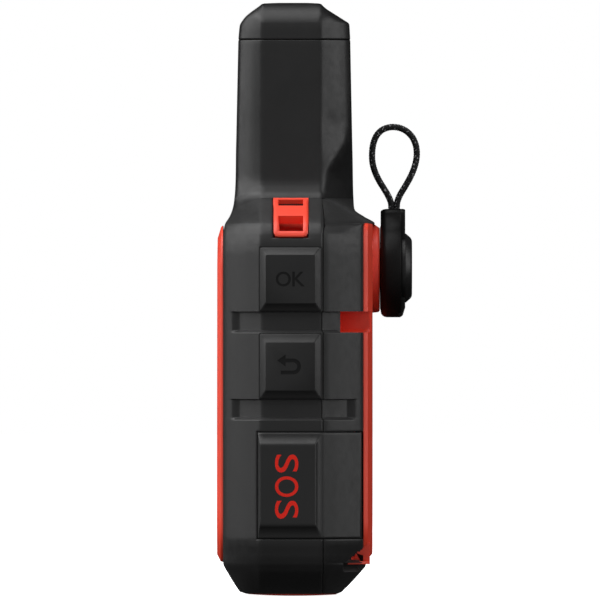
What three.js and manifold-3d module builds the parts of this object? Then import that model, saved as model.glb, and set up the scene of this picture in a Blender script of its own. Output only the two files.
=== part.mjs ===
// A handheld satellite GPS communicator, in millimetres, +Z up.
// The display faces -Y, the back faces +Y, and the confirm, back and SOS controls are on the +X side.
// The origin is on the flat foot of the case, under the middle of the case's depth.
import * as THREE from "three";
import { mergeVertices } from "three/addons/utils/BufferGeometryUtils.js";
import Module from "manifold-3d";

const wasm = await Module();
wasm.setup();

// ---------------------------------------------------------------- driving dimensions
const HEIGHT = 99; // foot to antenna tip
const HALF_WIDTH = 25.85; // centre to the face of the SOS cover
const SIDE = 24.9; // centre to the flat side of the case
const FRONT = -11.9; // front plane of the black bumper
const BACK = 11.2; // rear edge of the black bumper
const FACE = -12.95; // front face of the red surround
const REAR = 13; // rear face of the red back shell
const SEAM = 4.7; // plane where the front and rear halves meet
const FLAT_FRONT = -5.7; // front edge of the flat side
const FLAT_BACK = 4.5; // rear edge of the flat side
const NECK_Z = 66.3; // top of the case, where the antenna stands
const CAP_SEAM_Z = 92.8; // foot of the antenna cap
const BUMPER = 1.3; // thickness of the overmoulded bumpers
const SHELL_OUT = 1.4; // depth of the hard shells under the bumpers
const SHELL_IN = 2.9; // depth of the hard shells' inner faces
const RADOME = 1.6; // wall of the antenna housing
const GAP = 0.12; // assembly clearance
const CORNER = 1.2; // rounding of the case's long edges
const SEAL_ROOM = 0.15; // gap between the front half and the back half
const FAR = 30; // beyond every side of the case

const CONTROLS_Y = -0.75; // middle of the keys, from front to back
const GROOVES = [
  { low: 43.95, high: 47.45, back: REAR - 0.6 },
  { low: 29.45, high: 32.9, back: 10.3 },
];
const GROOVE_DEPTH = 0.9;
const GROOVE_FRONT = -10.65;
const GROOVE_RED = 7.5; // behind this the upper groove goes through to the red shell

const MOUNT_Z = 54.7; // height of the bayonet mount's axis
const MOUNT_RADIUS = 7.2;
const MOUNT_FACE = 14.25;
const STEM_RADIUS = 3.2; // the bayonet's stem
const LUG_RADIUS = 5.0; // reach of its lugs
const LOCK_RADIUS = 5.3; // room where the lugs turn
const LOCK_FLOOR = 12.1;

const SCREWS = [
  { x: 12.6, z: 11.2 },
  { x: 13.2, z: 58.6 },
];

// Cross-sections of the case: height, half width, front, back, half width of the front face
// and half width of the back face.
const CASE_BACK_HALF = 20.4; // half width of the case's back, between the rear bevels
const CASE = [
  [0.25, 15.0, -8.4, 7.3, 12.8, 12.4],
  [0.6, 17.2, -9.3, 8.0, 14.2, 13.8],
  [1.75, 19.8, -10.4, 9.3, 15.6, 15.4],
  [4.0, 22.5, -11.75, 11.1, 17.2, 17.6],
  [7.0, 24.2, FRONT, BACK, 18.4, 19.3],
  [10.0, SIDE, FRONT, BACK, 19.0, CASE_BACK_HALF],
  [57.0, SIDE, FRONT, BACK, 19.0, CASE_BACK_HALF],
  [58.6, 24.65, FRONT, BACK, 18.9, 20.2],
  [60.2, 24.0, FRONT, BACK, 18.5, 19.7],
  [61.9, 22.7, FRONT, BACK, 17.8, 18.8],
  [62.3, 22.25, -11.65, 12.8, 17.5, 17.2],
  [63.3, 20.9, -10.7, 11.7, 16.6, 16.6],
  [64.6, 18.6, -10.2, 10.1, 15.0, 15.3],
  [65.6, 16.6, -10.1, 9.95, 13.2, 13.2],
  [NECK_Z, 15.3, -10.05, 9.85, 12.0, 11.8],
];
const ANTENNA = [
  [NECK_Z + 0.15, 15.3, -10.05, 9.85, 11.6, 11.2],
  [67.4, 14.4, -9.95, 9.8, 10.9, 10.5],
  [69.8, 13.6, -9.85, 9.75, 10.2, 9.8],
  [CAP_SEAM_Z - 0.15, 12.7, -9.4, 9.3, 9.4, 9.0],
];
const CAP = [
  [CAP_SEAM_Z, 12.7, -9.4, 9.3, 9.4, 9.0],
  [95.2, 12.6, -9.3, 9.15, 9.3, 8.9],
  [96.7, 11.9, -8.6, 8.2, 8.6, 8.2],
  [98.1, 10.3, -7.0, 6.5, 7.4, 7.0],
  [98.85, 9.2, -5.8, 4.8, 6.6, 6.2],
  [HEIGHT, 8.4, -5.1, 4.0, 6.0, 5.6],
];

// ---------------------------------------------------------------- solids
const toSolid = (geometry) => {
  const bare = geometry.index ? geometry.toNonIndexed() : geometry.clone();
  bare.deleteAttribute("normal");
  bare.deleteAttribute("uv");
  const merged = mergeVertices(bare, 1e-4);
  const made = (triVerts) =>
    new wasm.Manifold(
      new wasm.Mesh({
        numProp: 3,
        vertProperties: merged.attributes.position.array,
        triVerts,
      }),
    );
  const solid = made(new Uint32Array(merged.index.array));
  if (solid.volume() > 0) return solid;
  return made(new Uint32Array(merged.index.array).reverse());
};

const toGeometry = (solid) => {
  const mesh = solid.getMesh();
  const positions = new Float32Array(mesh.numVert * 3);
  for (let i = 0; i < mesh.numVert; i++) {
    positions.set(mesh.vertProperties.subarray(i * mesh.numProp, i * mesh.numProp + 3), i * 3);
  }
  const geometry = new THREE.BufferGeometry();
  geometry.setAttribute("position", new THREE.BufferAttribute(positions, 3));
  geometry.setIndex(new THREE.BufferAttribute(mesh.triVerts, 1));
  geometry.computeVertexNormals();
  return geometry;
};

const union = (first, ...rest) => rest.reduce((made, next) => made.add(next), first);

// A box from one corner to the opposite one.
const box = (x0, x1, y0, y1, z0, z1) =>
  toSolid(
    new THREE.BoxGeometry(Math.abs(x1 - x0), Math.abs(y1 - y0), Math.abs(z1 - z0)).translate(
      (x0 + x1) / 2,
      (y0 + y1) / 2,
      (z0 + z1) / 2,
    ),
  );

// A cylinder along Y, from y0 to y1.
const rod = (x, z, y0, y1, radius, sides = 20) =>
  toSolid(
    new THREE.CylinderGeometry(radius, radius, Math.abs(y1 - y0), sides).translate(x, (y0 + y1) / 2, z),
  );

// A cylinder along Z, from z0 to z1.
const post = (x, y, z0, z1, radius, sides = 20) =>
  toSolid(
    new THREE.CylinderGeometry(radius, radius, z1 - z0, sides)
      .rotateX(Math.PI / 2)
      .translate(x, y, (z0 + z1) / 2),
  );

// A closed skin over rings of equally many points, flat at both ends.
const loft = (rings) => {
  const count = rings[0].length;
  const positions = rings.flat().flatMap((p) => [p.x, p.y, p.z]);
  const index = [];
  for (let r = 0; r < rings.length - 1; r++) {
    for (let i = 0; i < count; i++) {
      const a = r * count + i;
      const b = r * count + ((i + 1) % count);
      index.push(a, b, b + count, a, b + count, a + count);
    }
  }
  const last = (rings.length - 1) * count;
  for (let i = 1; i < count - 1; i++) {
    index.push(0, i + 1, i, last, last + i, last + i + 1);
  }
  const geometry = new THREE.BufferGeometry();
  geometry.setAttribute("position", new THREE.Float32BufferAttribute(positions, 3));
  geometry.setIndex(index);
  return toSolid(geometry);
};

// ---------------------------------------------------------------- outlines
// Moves each edge of a convex outline inwards by an inset.
const insetOutline = (points, inset) => {
  const edges = points.map((p, i) => {
    const q = points[(i + 1) % points.length];
    const along = q.clone().sub(p).normalize();
    const inward = new THREE.Vector2(-along.y, along.x);
    return { from: p.clone().addScaledVector(inward, inset), along };
  });
  return edges.map((edge, i) => {
    const before = edges[(i + edges.length - 1) % edges.length];
    const cross = before.along.x * edge.along.y - before.along.y * edge.along.x;
    const gap = edge.from.clone().sub(before.from);
    const t = (gap.x * edge.along.y - gap.y * edge.along.x) / cross;
    return before.from.clone().addScaledVector(before.along, t);
  });
};

// Rounds each corner with three points of an arc-like curve.
const roundOutline = (points, radius) =>
  points.flatMap((p, i) => {
    const before = points[(i + points.length - 1) % points.length];
    const after = points[(i + 1) % points.length];
    const start = p.clone().lerp(before, Math.min(0.4, radius / p.distanceTo(before)));
    const end = p.clone().lerp(after, Math.min(0.4, radius / p.distanceTo(after)));
    const middle = start.clone().add(end).multiplyScalar(0.25).addScaledVector(p, 0.5);
    return [start, middle, end];
  });

// The eight-sided section of the case or antenna at one station, anticlockwise from above.
const section = ([, half, front, back, frontHalf, backHalf]) => {
  const flatFront = Math.max(FLAT_FRONT, 0.65 * front);
  const flatBack = Math.min(FLAT_BACK, 0.65 * back);
  const right = [
    [frontHalf, front],
    [half, flatFront],
    [half, flatBack],
    [backHalf, back],
  ];
  const left = right.map(([x, y]) => [-x, y]).reverse();
  return [...right, ...left].map(([x, y]) => new THREE.Vector2(x, y));
};

// The whole outer form at some depth under its surface. Rings tilt with the profile, so walls stay even.
const form = (stations, inset, level = false) => {
  const rings = stations.map((station, i) => {
    const below = stations[Math.max(i - 1, 0)];
    const above = stations[Math.min(i + 1, stations.length - 1)];
    const slope = new THREE.Vector2(above[1] - below[1], above[0] - below[0]).normalize();
    const sideways = level ? 1 : Math.abs(slope.y);
    const upward = level ? 0 : -slope.x;
    const outline = insetOutline(section(station), inset * Math.max(sideways, 0.45));
    const z = station[0] - inset * upward;
    return roundOutline(outline, CORNER).map((p) => new THREE.Vector3(p.x, p.y, z));
  });
  return loft(rings);
};

const caseForms = new Map();
const caseAt = (inset) => {
  if (!caseForms.has(inset)) caseForms.set(inset, form(CASE, inset));
  return caseForms.get(inset);
};

// What lies between the surface at some depth and the edge of a box.
const outside = (inset, x0, x1, y0, y1, z0, z1) => box(x0, x1, y0, y1, z0, z1).subtract(caseAt(inset));

// The slice of the case at some depth that lies between two planes across Y.
const slice = (inset, y0, y1, low = 0, high = 70) =>
  caseAt(inset).intersect(box(-FAR, FAR, y0, y1, low, high));

const without = (solid, cuts) => cuts.reduce((made, cut) => made.subtract(cut), solid);

// An outline in the X-Z plane that is the same on the left and right, from its right half, bottom to top.
const mirrored = (half) => [...half, ...half.map(([x, z]) => [-x, z]).reverse()];

// A plate that lies in the X-Z plane, lofted through outlines at increasing y.
const plate = (layers) =>
  loft(layers.map(([y, outline]) => outline.map(([x, z]) => new THREE.Vector3(x, y, z))));

// A raised pad on the side of the case: straight up to the surface, then tapering to its top.
const pad = (side, foot, top, base, crown) => {
  const ring = (x, [y0, y1, z0, z1], cut) =>
    [
      [y0 + cut, z0],
      [y1 - cut, z0],
      [y1, z0 + cut],
      [y1, z1 - cut],
      [y1 - cut, z1],
      [y0 + cut, z1],
      [y0, z1 - cut],
      [y0, z0 + cut],
    ].map(([y, z]) => new THREE.Vector3(side * x, y, z));
  return loft([ring(foot, base, 0.5), ring(SIDE, base, 0.5), ring(top, crown, 0.5)]);
};

const both = (make) => [make(1), make(-1)];

// ---------------------------------------------------------------- the controls' places
const KEY_TOP = 25.65;
const KEY_FOOT = 24.05;
const KEY_BASE_Y = [-5.65, 4.25];
const KEY_CROWN_Y = [-4.8, 3.4];
const STEM_END = 21.75;
const STEM_HALF = 2.5;
const keyPlaces = {
  ok_key: { side: 1, base: [47.75, 58.0], crown: [48.8, 56.85] },
  back_key: { side: 1, base: [33.15, 43.65], crown: [34.3, 42.3] },
  up_key: { side: -1, base: [47.75, 58.0], crown: [48.8, 56.85] },
  down_key: { side: -1, base: [33.15, 43.65], crown: [34.3, 42.3] },
  power_key: { side: -1, base: [20.75, 27.35], crown: [21.7, 26.4] },
};
const SOS = { side: 1, low: 9.65, high: 27.35, crown: [11.3, 25.9], front: -6.2, crownY: [-5.6, 3.4] };
const USB = { side: -1, low: 9.65, high: 19.55, crown: [11.0, 18.2], front: -6.2, crownY: [-5.6, 3.4] };
const COVER_INNER = 1.2; // depth of a cover's inner face
const COVER_EDGE = 19.38; // the covers' slots start here
const HINGE_X = 20.1; // a cover's hinge line, in the corner of the rear bevel and the back
const HINGE_Y = 10.6;
const HINGE_RADIUS = 0.58;
const SOS_BUTTON = { y: [-4.0, 2.4], z: [13.9, 23.1], top: 24.45 };
const ANCHOR = { y: [-3.75, 2.25], z: [59.8, 66.75], x: 15.6, proud: 0.4, deep: 4.2 };

// Everything that the keys, covers, grooves and lanyard anchor take out of the bumpers.
const bumperCuts = () => {
  const keys = Object.values(keyPlaces).map(({ side, base }) =>
    box(side * 22, side * 27, KEY_BASE_Y[0] - GAP, KEY_BASE_Y[1] + GAP, base[0] - GAP, base[1] + GAP),
  );
  const covers = [SOS, USB].map(({ side, low, high, front }) =>
    box(side * COVER_EDGE, side * 27, front - GAP, BACK + 0.2, low - GAP, high + GAP),
  );
  const grooves = both((side) => side).flatMap((side) =>
    GROOVES.map(({ low, high, back }) =>
      outside(GROOVE_DEPTH, side * 16, side * 27, GROOVE_FRONT, back, low, high),
    ),
  );
  const redSlots = both((side) =>
    box(side * 16, side * 27, GROOVE_RED, REAR, GROOVES[0].low, GROOVES[0].high),
  );
  const anchor = box(
    ANCHOR.x - GAP,
    27,
    ANCHOR.y[0] - GAP,
    ANCHOR.y[1] + GAP,
    ANCHOR.z[0] - GAP,
    ANCHOR.z[1] + 1,
  );
  return [...keys, ...covers, ...grooves, ...redSlots, anchor];
};

// The strap notch in each lower rear corner: a wedge above, and a shallow pocket below it.
const notchWedge = (side) => {
  const corners = [
    [8.9, 6.05],
    [14.0, 6.05],
    [14.0, 10.1],
    [12.2, 8.7],
  ];
  return loft([side * 17, side * 27].map((x) => corners.map(([y, z]) => new THREE.Vector3(x, y, z))));
};
const notchPocket = (side) => outside(0.8, side * 14, side * 27, 8.1, 11.0, 4.15, 5.65);

// ---------------------------------------------------------------- housing
const SURROUND_FOOT = mirrored([
  [13.2, 4.9],
  [17.4, 8.6],
  [18.2, 12.0],
  [18.2, 56.2],
  [17.3, 59.8],
  [13.8, 61.8],
]);
const SURROUND_FACE = mirrored([
  [12.4, 7.5],
  [16.2, 10.6],
  [17.0, 13.4],
  [17.0, 54.8],
  [16.2, 57.9],
  [12.8, 59.7],
]);
const WINDOW_OPENING = mirrored([
  [12.6, 12.4],
  [14.6, 14.4],
  [14.6, 53.4],
  [12.6, 55.4],
]);
const shrink = (outline, by, centreZ) =>
  outline.map(([x, z]) => [x - Math.sign(x) * by, z - Math.sign(z - centreZ) * by]);
const WINDOW_CENTRE_Z = 33.9;
const VIEW = { half: 11.8, low: 29.4, high: 53.0 }; // the visible part of the display

const BACK_FOOT = mirrored([
  [13.4, 5.2],
  [17.5, 7.4],
  [19.6, 10.6],
  [19.6, 57.0],
  [19.1, 60.2],
  [18.0, 61.8],
]);
const BACK_FACE = mirrored([
  [9.6, 8.2],
  [12.2, 10.2],
  [13.0, 12.8],
  [13.0, 55.8],
  [12.6, 58.8],
  [11.4, 61.6],
]);

const BACK_CENTRE_Z = 34;

// The main board's two faces, and where the parts on them begin.
const BOARD_FRONT = -6.6;
const BOARD_BACK = -5.6;
const PARTS_FRONT = BOARD_FRONT - 0.1;
const PARTS_BACK = BOARD_BACK + 0.1;
const BUZZER = { x: -8.5, z: 18.6, radius: 5.6 };

const screwHoles = (make) => SCREWS.flatMap(({ x, z }) => [make(x, z), make(-x, z)]);

const FOOT_PATCH = { half: 11.5, front: -9.6, back: 8.2, high: 2.4 };

const footPatch = (y0, y1, grow = 0) =>
  box(-FOOT_PATCH.half - grow, FOOT_PATCH.half + grow, y0, y1, grow ? -1 : 0, FOOT_PATCH.high);

// The hole through the top of the case for the antenna's cable.
const coaxHole = () => post(0, -2.5, 60, 70, 3, 16);

const frontShell = () => {
  const tray = slice(SHELL_OUT, -FAR, SEAM - GAP);
  const cavity = slice(SHELL_IN, -10.2, FAR);
  const surround = plate([
    [-10.6, SURROUND_FOOT],
    [FRONT + 0.05, SURROUND_FOOT],
    [FACE, SURROUND_FACE],
  ]);
  const window = plate([
    [-20, WINDOW_OPENING],
    [FRONT + 0.1, WINDOW_OPENING],
  ]);
  const view = box(-VIEW.half, VIEW.half, -20, -9, VIEW.low, VIEW.high);
  const displayRoom = box(-14.3, 14.3, -10.25, -8, 25.7, 56.8);
  const buzzerRoom = rod(BUZZER.x, BUZZER.z, -9.4, -8, BUZZER.radius + 0.2, 24);
  const patch = caseAt(-0.3).intersect(footPatch(FOOT_PATCH.front, SEAM - GAP));
  const posts = screwHoles((x, z) => rod(x, z, -10.4, 3.8, 1.8, 16));
  const pilots = screwHoles((x, z) => rod(x, z, -2, 8, 0.72, 12));
  const stemHoles = Object.values(keyPlaces).map(({ side, base }) => {
    const z = (base[0] + base[1]) / 2;
    const reach = STEM_HALF + 0.4;
    return box(side * 20, side * 25, CONTROLS_Y - reach, CONTROLS_Y + reach, z - reach, z + reach);
  });
  const [sosFront, sosBack] = SOS_BUTTON.y;
  const [sosLow, sosHigh] = SOS_BUTTON.z;
  const sosHole = box(20, 25, sosFront - 0.15, sosBack + 0.15, sosLow - 0.15, sosHigh + 0.15);
  const usbHole = box(-25, -20, -5.8, -2.6, 10.7, 18.5);
  const anchorHole = box(
    ANCHOR.x - GAP,
    27,
    ANCHOR.y[0] - GAP,
    ANCHOR.y[1] + GAP,
    ANCHOR.z[0] - GAP,
    70,
  );
  return without(union(tray.subtract(cavity), surround, patch, ...posts), [
    window,
    view,
    displayRoom,
    buzzerRoom,
    ...pilots,
    ...stemHoles,
    sosHole,
    usbHole,
    anchorHole,
    coaxHole(),
  ]);
};

const frontBumper = () => {
  const band = slice(0, -FAR, SEAM).subtract(caseAt(BUMPER));
  const roomy = SURROUND_FOOT.map(([x, z]) => [x * 1.006, z]);
  const opening = plate([
    [-20, roomy],
    [-9, roomy],
  ]);
  const patch = footPatch(FOOT_PATCH.front - GAP, 20, GAP);
  return without(band, [opening, coaxHole(), patch, ...bumperCuts()]);
};

const rearBumper = () => {
  const band = slice(0, SEAM + SEAL_ROOM, FAR).subtract(caseAt(BUMPER));
  const roomy = shrink(BACK_FOOT, 1.5, BACK_CENTRE_Z);
  const opening = plate([
    [7, roomy],
    [20, roomy],
  ]);
  const seat = box(-FAR, FAR, BACK, 20, 0, 61.95);
  const patch = footPatch(0, FOOT_PATCH.back + GAP, GAP);
  const notches = both((side) => [notchWedge(side), notchPocket(side)]).flat();
  return without(band, [opening, seat, patch, ...bumperCuts(), ...notches]);
};

const backShell = () => {
  const whole = slice(SHELL_OUT, SEAM + SEAL_ROOM, BACK + 0.1);
  const tray = whole.subtract(box(-FAR, FAR, 9.8, 20, 60.9, 70));
  const slab = plate([
    [BACK + 0.05, BACK_FOOT],
    [REAR, BACK_FACE],
  ]);
  // The slab's step meets the tray through the bumper's opening.
  const step = shrink(BACK_FOOT, 1.65, BACK_CENTRE_Z);
  const joint = plate([
    [9.0, step],
    [BACK + 0.6, step],
  ]);
  const cavity = slice(SHELL_IN, -FAR, 8.3);
  const batteryPocket = box(-15.3, 15.3, 4, 10.9, 13.6, 56.4);
  const patch = caseAt(-0.3).intersect(footPatch(SEAM + SEAL_ROOM, FOOT_PATCH.back));
  const boss = rod(0, MOUNT_Z, REAR - 0.5, MOUNT_FACE, MOUNT_RADIUS, 32);
  const tubes = screwHoles((x, z) => rod(x, z, 4.0, 9.0, 2.0, 16));
  const holes = screwHoles((x, z) => union(rod(x, z, 0, 20, 0.75, 12), rod(x, z, 11.6, 20, 1.62, 16)));
  const lockRoom = rod(0, MOUNT_Z, LOCK_FLOOR, 13.55, LOCK_RADIUS, 32);
  const throat = rod(0, MOUNT_Z, LOCK_FLOOR, 20, STEM_RADIUS + 0.3, 24);
  // The lugs pass through this slot when the tether is turned a quarter turn.
  const slots = box(-LOCK_RADIUS, LOCK_RADIUS, LOCK_FLOOR, 20, MOUNT_Z - 2.3, MOUNT_Z + 2.3).intersect(
    rod(0, MOUNT_Z, 12, 20, LOCK_RADIUS, 32),
  );
  const redSlots = both((side) =>
    box(side * 18.4, side * 27, BACK - 0.2, 12.4, GROOVES[0].low, GROOVES[0].high),
  );
  const notches = both((side) =>
    notchWedge(side).intersect(box(side * 18.4, side * 27, BACK, 20, 0, 12)),
  );
  const hollow = without(union(tray, slab, joint, patch), [cavity, batteryPocket]);
  return without(union(hollow, boss, ...tubes), [
    ...holes,
    lockRoom,
    throat,
    slots,
    ...redSlots,
    ...notches,
  ]);
};

const housingSeal = () => slice(3.0, 3.6, 4.5, 0, 62.5).subtract(caseAt(3.8));

const lanyardAnchor = () => {
  const { y, z, x, proud, deep } = ANCHOR;
  const block = caseAt(-proud).intersect(box(x, 27, y[0], y[1], z[0], z[1])).subtract(caseAt(deep));
  const half = 2.05; // half width of the windows
  const channel = outside(3.2, x + 0.8, 27, CONTROLS_Y - half, CONTROLS_Y + half, 60.8, 67);
  const bar = outside(1.5, x, 27, CONTROLS_Y - half - 1, CONTROLS_Y + half + 1, 63.2, 65.2);
  return block.subtract(channel.subtract(bar));
};

// ---------------------------------------------------------------- keys and covers
const key = ({ side, base, crown }) => {
  const z = (base[0] + base[1]) / 2;
  return pad(side, KEY_FOOT, KEY_TOP, [...KEY_BASE_Y, ...base], [...KEY_CROWN_Y, ...crown]).add(
    box(
      side * STEM_END,
      side * (KEY_FOOT + 0.2),
      CONTROLS_Y - STEM_HALF,
      CONTROLS_Y + STEM_HALF,
      z - STEM_HALF,
      z + STEM_HALF,
    ),
  );
};

// A cover that wraps from the flat side round the rear bevel, to a bead that turns in the case's corner.
const cover = ({ side, low, high, crown, front, crownY }) => {
  const wrap = box(side * (COVER_EDGE + GAP), side * 27, front, BACK, low, high);
  // The sheet ends square to the rear bevel, on a line through the hinge.
  const bevelAngle = Math.atan2(BACK - FLAT_BACK, SIDE - CASE_BACK_HALF);
  const beyond = toSolid(
    new THREE.BoxGeometry(8, 8, 60)
      .translate(-4, 0, 0)
      .rotateZ(-bevelAngle)
      .scale(side, 1, 1)
      .translate(side * HINGE_X, HINGE_Y, (low + high) / 2),
  );
  const sheet = caseAt(0).subtract(caseAt(COVER_INNER)).intersect(wrap).subtract(beyond);
  const bead = post(side * HINGE_X, HINGE_Y, low, high, HINGE_RADIUS, 16);
  const raised = pad(
    side,
    SIDE - 0.6,
    HALF_WIDTH,
    [front + 0.05, 4.4, low + 0.05, high - 0.05],
    [...crownY, ...crown],
  );
  const room = box(side * 20, side * (HALF_WIDTH - 1.1), -4.9, 3.3, crown[0] + 1.1, crown[1] - 1.1);
  return union(sheet, bead, raised).subtract(room);
};

const sosButton = () => box(STEM_END, SOS_BUTTON.top, ...SOS_BUTTON.y, ...SOS_BUTTON.z);

const switchZ = {
  ok_switch: [1, 52.875],
  back_switch: [1, 38.4],
  sos_switch: [1, 18.5],
  up_switch: [-1, 52.875],
  down_switch: [-1, 38.4],
  power_switch: [-1, 24.05],
};
const tactSwitch = ([side, z]) =>
  box(side * 20.05, side * 20.8, CONTROLS_Y - 2.2, CONTROLS_Y + 2.2, z - 2.2, z + 2.2).add(
    box(side * 20.7, side * 21.2, CONTROLS_Y - 0.9, CONTROLS_Y + 0.9, z - 0.9, z + 0.9),
  );
const switchBoard = (side) => box(side * 19.55, side * 20, -4.8, 3.6, side > 0 ? 14.5 : 20.5, 56.4);

// ---------------------------------------------------------------- display and electronics
const displayWindow = () => {
  const outline = shrink(WINDOW_OPENING, 0.15, WINDOW_CENTRE_Z);
  return plate([
    [-12.7, outline],
    [-12.0, outline],
  ]);
};
const windowMask = () =>
  plate([
    [-11.95, shrink(WINDOW_OPENING, 0.3, WINDOW_CENTRE_Z)],
    [-11.82, shrink(WINDOW_OPENING, 0.3, WINDOW_CENTRE_Z)],
  ]).subtract(box(-VIEW.half, VIEW.half, -20, 0, VIEW.low, VIEW.high));
const displayPanel = () => box(-13.4, 13.4, -10.1, -8.4, 26.6, 56.2);
const displayCarrier = () => box(-14, 14, -8.3, -7.1, 26, 56.5).subtract(box(-9, 9, -9, -7.6, 31, 50));

const mainBoard = () => {
  const outline = slice(3.6, BOARD_FRONT, BOARD_BACK, 6, 60.5).intersect(box(-21.5, 21.5, -FAR, FAR, 0, 70));
  return without(
    outline,
    screwHoles((x, z) => rod(x, z, -10, 0, 2.1, 16)),
  );
};
const modemModule = () => box(-14.8, 14.8, PARTS_BACK, 2.6, 24.6, 56.1);
const processorShield = () => box(1.5, 15, -8.1, PARTS_FRONT, 15.2, 24.8);
const gnssModule = () => box(2, 12.1, PARTS_BACK, -3.1, 13.4, 23.5);
const powerInductor = () => rod(-6.5, 19.5, PARTS_BACK, -2.7, 3, 16);
const buzzer = () => rod(BUZZER.x, BUZZER.z, -9.2, PARTS_FRONT, BUZZER.radius, 24);
const usbSocket = () => {
  const body = box(-22.6, -17.2, PARTS_BACK, -2.9, 10.85, 18.35);
  const mouth = box(-23, -18.6, -5.1, -3.3, 11.25, 17.95);
  const tongue = box(-21.8, -18.2, -4.45, -3.95, 12.1, 17.1);
  return body.subtract(mouth).add(tongue);
};
const batteryPack = () => box(-14.7, 14.7, 3.3, 10.1, 14.2, 55.9);
const batteryPad = () => box(-13.5, 13.5, 10.2, 10.75, 16, 54);

// ---------------------------------------------------------------- antenna
const antennaRadome = () => {
  const bore = ANTENNA.map((station) => [...station]);
  bore[0][0] -= 1;
  bore[bore.length - 1][0] += 1;
  return form(ANTENNA, 0, true).subtract(form(bore, RADOME, true));
};
const antennaCap = () => {
  const room = [
    [CAP_SEAM_Z - 1, 12.7, -9.4, 9.3, 9.4, 9.0],
    [95.0, 12.6, -9.3, 9.15, 9.3, 8.9],
    [97.2, 9.6, -6.8, 6.2, 7.2, 6.8],
  ];
  return form(CAP, 0, true).subtract(form(room, RADOME, true));
};
const CORE = { radius: 5.4, low: 69.2, high: 91.4 };
const WIRE_RADIUS = 0.32;
const WIRE_ORBIT = CORE.radius + WIRE_RADIUS + 0.1;
const WIRE_LOW = 70.4; // foot of the helix
const WIRE_RISE = 19.6; // its height over half a turn

class HelixCurve extends THREE.Curve {
  constructor(start) {
    super();
    this.start = start;
  }

  getPoint(t, target = new THREE.Vector3()) {
    const angle = this.start + Math.PI * t;
    const z = WIRE_LOW + WIRE_RISE * t;
    return target.set(WIRE_ORBIT * Math.cos(angle), WIRE_ORBIT * Math.sin(angle), z);
  }
}

// A solid of round section swept along a curve.
const sweep = (curve, radius, sides, steps) => {
  const shape = new THREE.Shape(
    Array.from({ length: sides }, (_, i) => {
      const angle = (2 * Math.PI * i) / sides;
      return new THREE.Vector2(radius * Math.cos(angle), radius * Math.sin(angle));
    }),
  );
  return toSolid(new THREE.ExtrudeGeometry(shape, { steps, extrudePath: curve, bevelEnabled: false }));
};

const antennaCore = () => post(0, 0, CORE.low, CORE.high, CORE.radius, 24);
const helixWire = (start) => sweep(new HelixCurve(start), WIRE_RADIUS, 6, 12);
const antennaBoard = () => post(0, 0, 67.6, 68.6, 7.2, 24);
const antennaCoax = () =>
  sweep(
    new THREE.CatmullRomCurve3(
      [
        [0, -2.5, 67.4],
        [0, -2.5, 62.5],
        [2.5, -2.8, 59.6],
        [5, -4.2, 57.8],
        [6, -4.9, 57.2],
        [8, -5.0, 57.0],
      ].map((p) => new THREE.Vector3(...p)),
    ),
    0.55,
    8,
    12,
  );

// ---------------------------------------------------------------- fasteners
const caseScrew = (x, z) => {
  const head = rod(x, z, 11.75, 12.9, 1.45, 16);
  const shank = rod(x, z, -1, 11.9, 0.6, 10);
  const socket = rod(x, z, 12.35, 14, 0.7, 6);
  return head.add(shank).subtract(socket);
};

// ---------------------------------------------------------------- tether
const TETHER = {
  face: MOUNT_FACE + 0.15,
  outer: 18.5,
  radius: 8.25,
  neckTop: 64.7,
  neckHalf: 3.4,
  capRadius: 5.8,
  capFoot: 17.8,
  capTop: 19.65,
  cordY: 16.5,
};
const CORD_RADIUS = 0.55;
// The free loop of cord, from one end in the neck to the other, as [y, z].
const CORD_POINTS = [
  [16.08, 62.3],
  [16.08, 64.6],
  [15.98, 65.7],
  [15.5, 67.0],
  [14.8, 68.25],
  [14.05, 69.5],
  [13.42, 70.9],
  [13.05, 72.3],
  [12.97, 73.8],
  [13.15, 75.4],
  [13.68, 76.8],
  [14.55, 77.75],
  [15.6, 78.2],
  [16.65, 78.3],
  [17.75, 78.1],
  [18.8, 77.55],
  [19.74, 76.55],
  [20.3, 75.2],
  [20.45, 73.8],
  [20.28, 72.4],
  [19.85, 71.0],
  [19.2, 69.6],
  [18.4, 68.2],
  [17.7, 66.95],
  [17.28, 65.7],
  [17.22, 64.6],
  [17.22, 62.3],
];

const lathedY = (profile, sides) =>
  toSolid(
    new THREE.LatheGeometry(
      profile.map(([r, y]) => new THREE.Vector2(r, y)),
      sides,
    ),
  ).translate([0, 0, MOUNT_Z]);

const tetherPuck = () => {
  const disc = lathedY(
    [
      [0, TETHER.face],
      [7.8, TETHER.face],
      [TETHER.radius, TETHER.face + 0.45],
      [TETHER.radius, 17.5],
      [7.3, TETHER.outer],
      [0, TETHER.outer],
    ],
    40,
  );
  const neckRing = (z, half, y0, y1) =>
    [
      [half, y0],
      [half, y1],
      [-half, y1],
      [-half, y0],
    ].map(([x, y]) => new THREE.Vector3(x, y, z));
  const neck = loft([
    neckRing(MOUNT_Z + 4, TETHER.neckHalf + 0.8, TETHER.face, TETHER.outer),
    neckRing(TETHER.neckTop - 1.6, TETHER.neckHalf, TETHER.face, TETHER.outer),
    neckRing(TETHER.neckTop, TETHER.neckHalf - 0.7, TETHER.face + 0.5, TETHER.outer - 0.5),
  ]);
  const cordSlot = box(-0.8, 0.8, 15.2, 17.8, 61.9, 70);
  const crimpRoom = box(-1.2, 1.2, 15.1, 17.9, 59.4, 62.1);
  const capSeat = rod(0, MOUNT_Z, TETHER.capFoot - 0.1, 25, TETHER.capRadius + 0.1, 32);
  const stemBore = rod(0, MOUNT_Z, 10, 16.3, STEM_RADIUS + 0.1, 24);
  return union(disc, neck).subtract(union(cordSlot, crimpRoom, stemBore)).subtract(capSeat);
};
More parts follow.
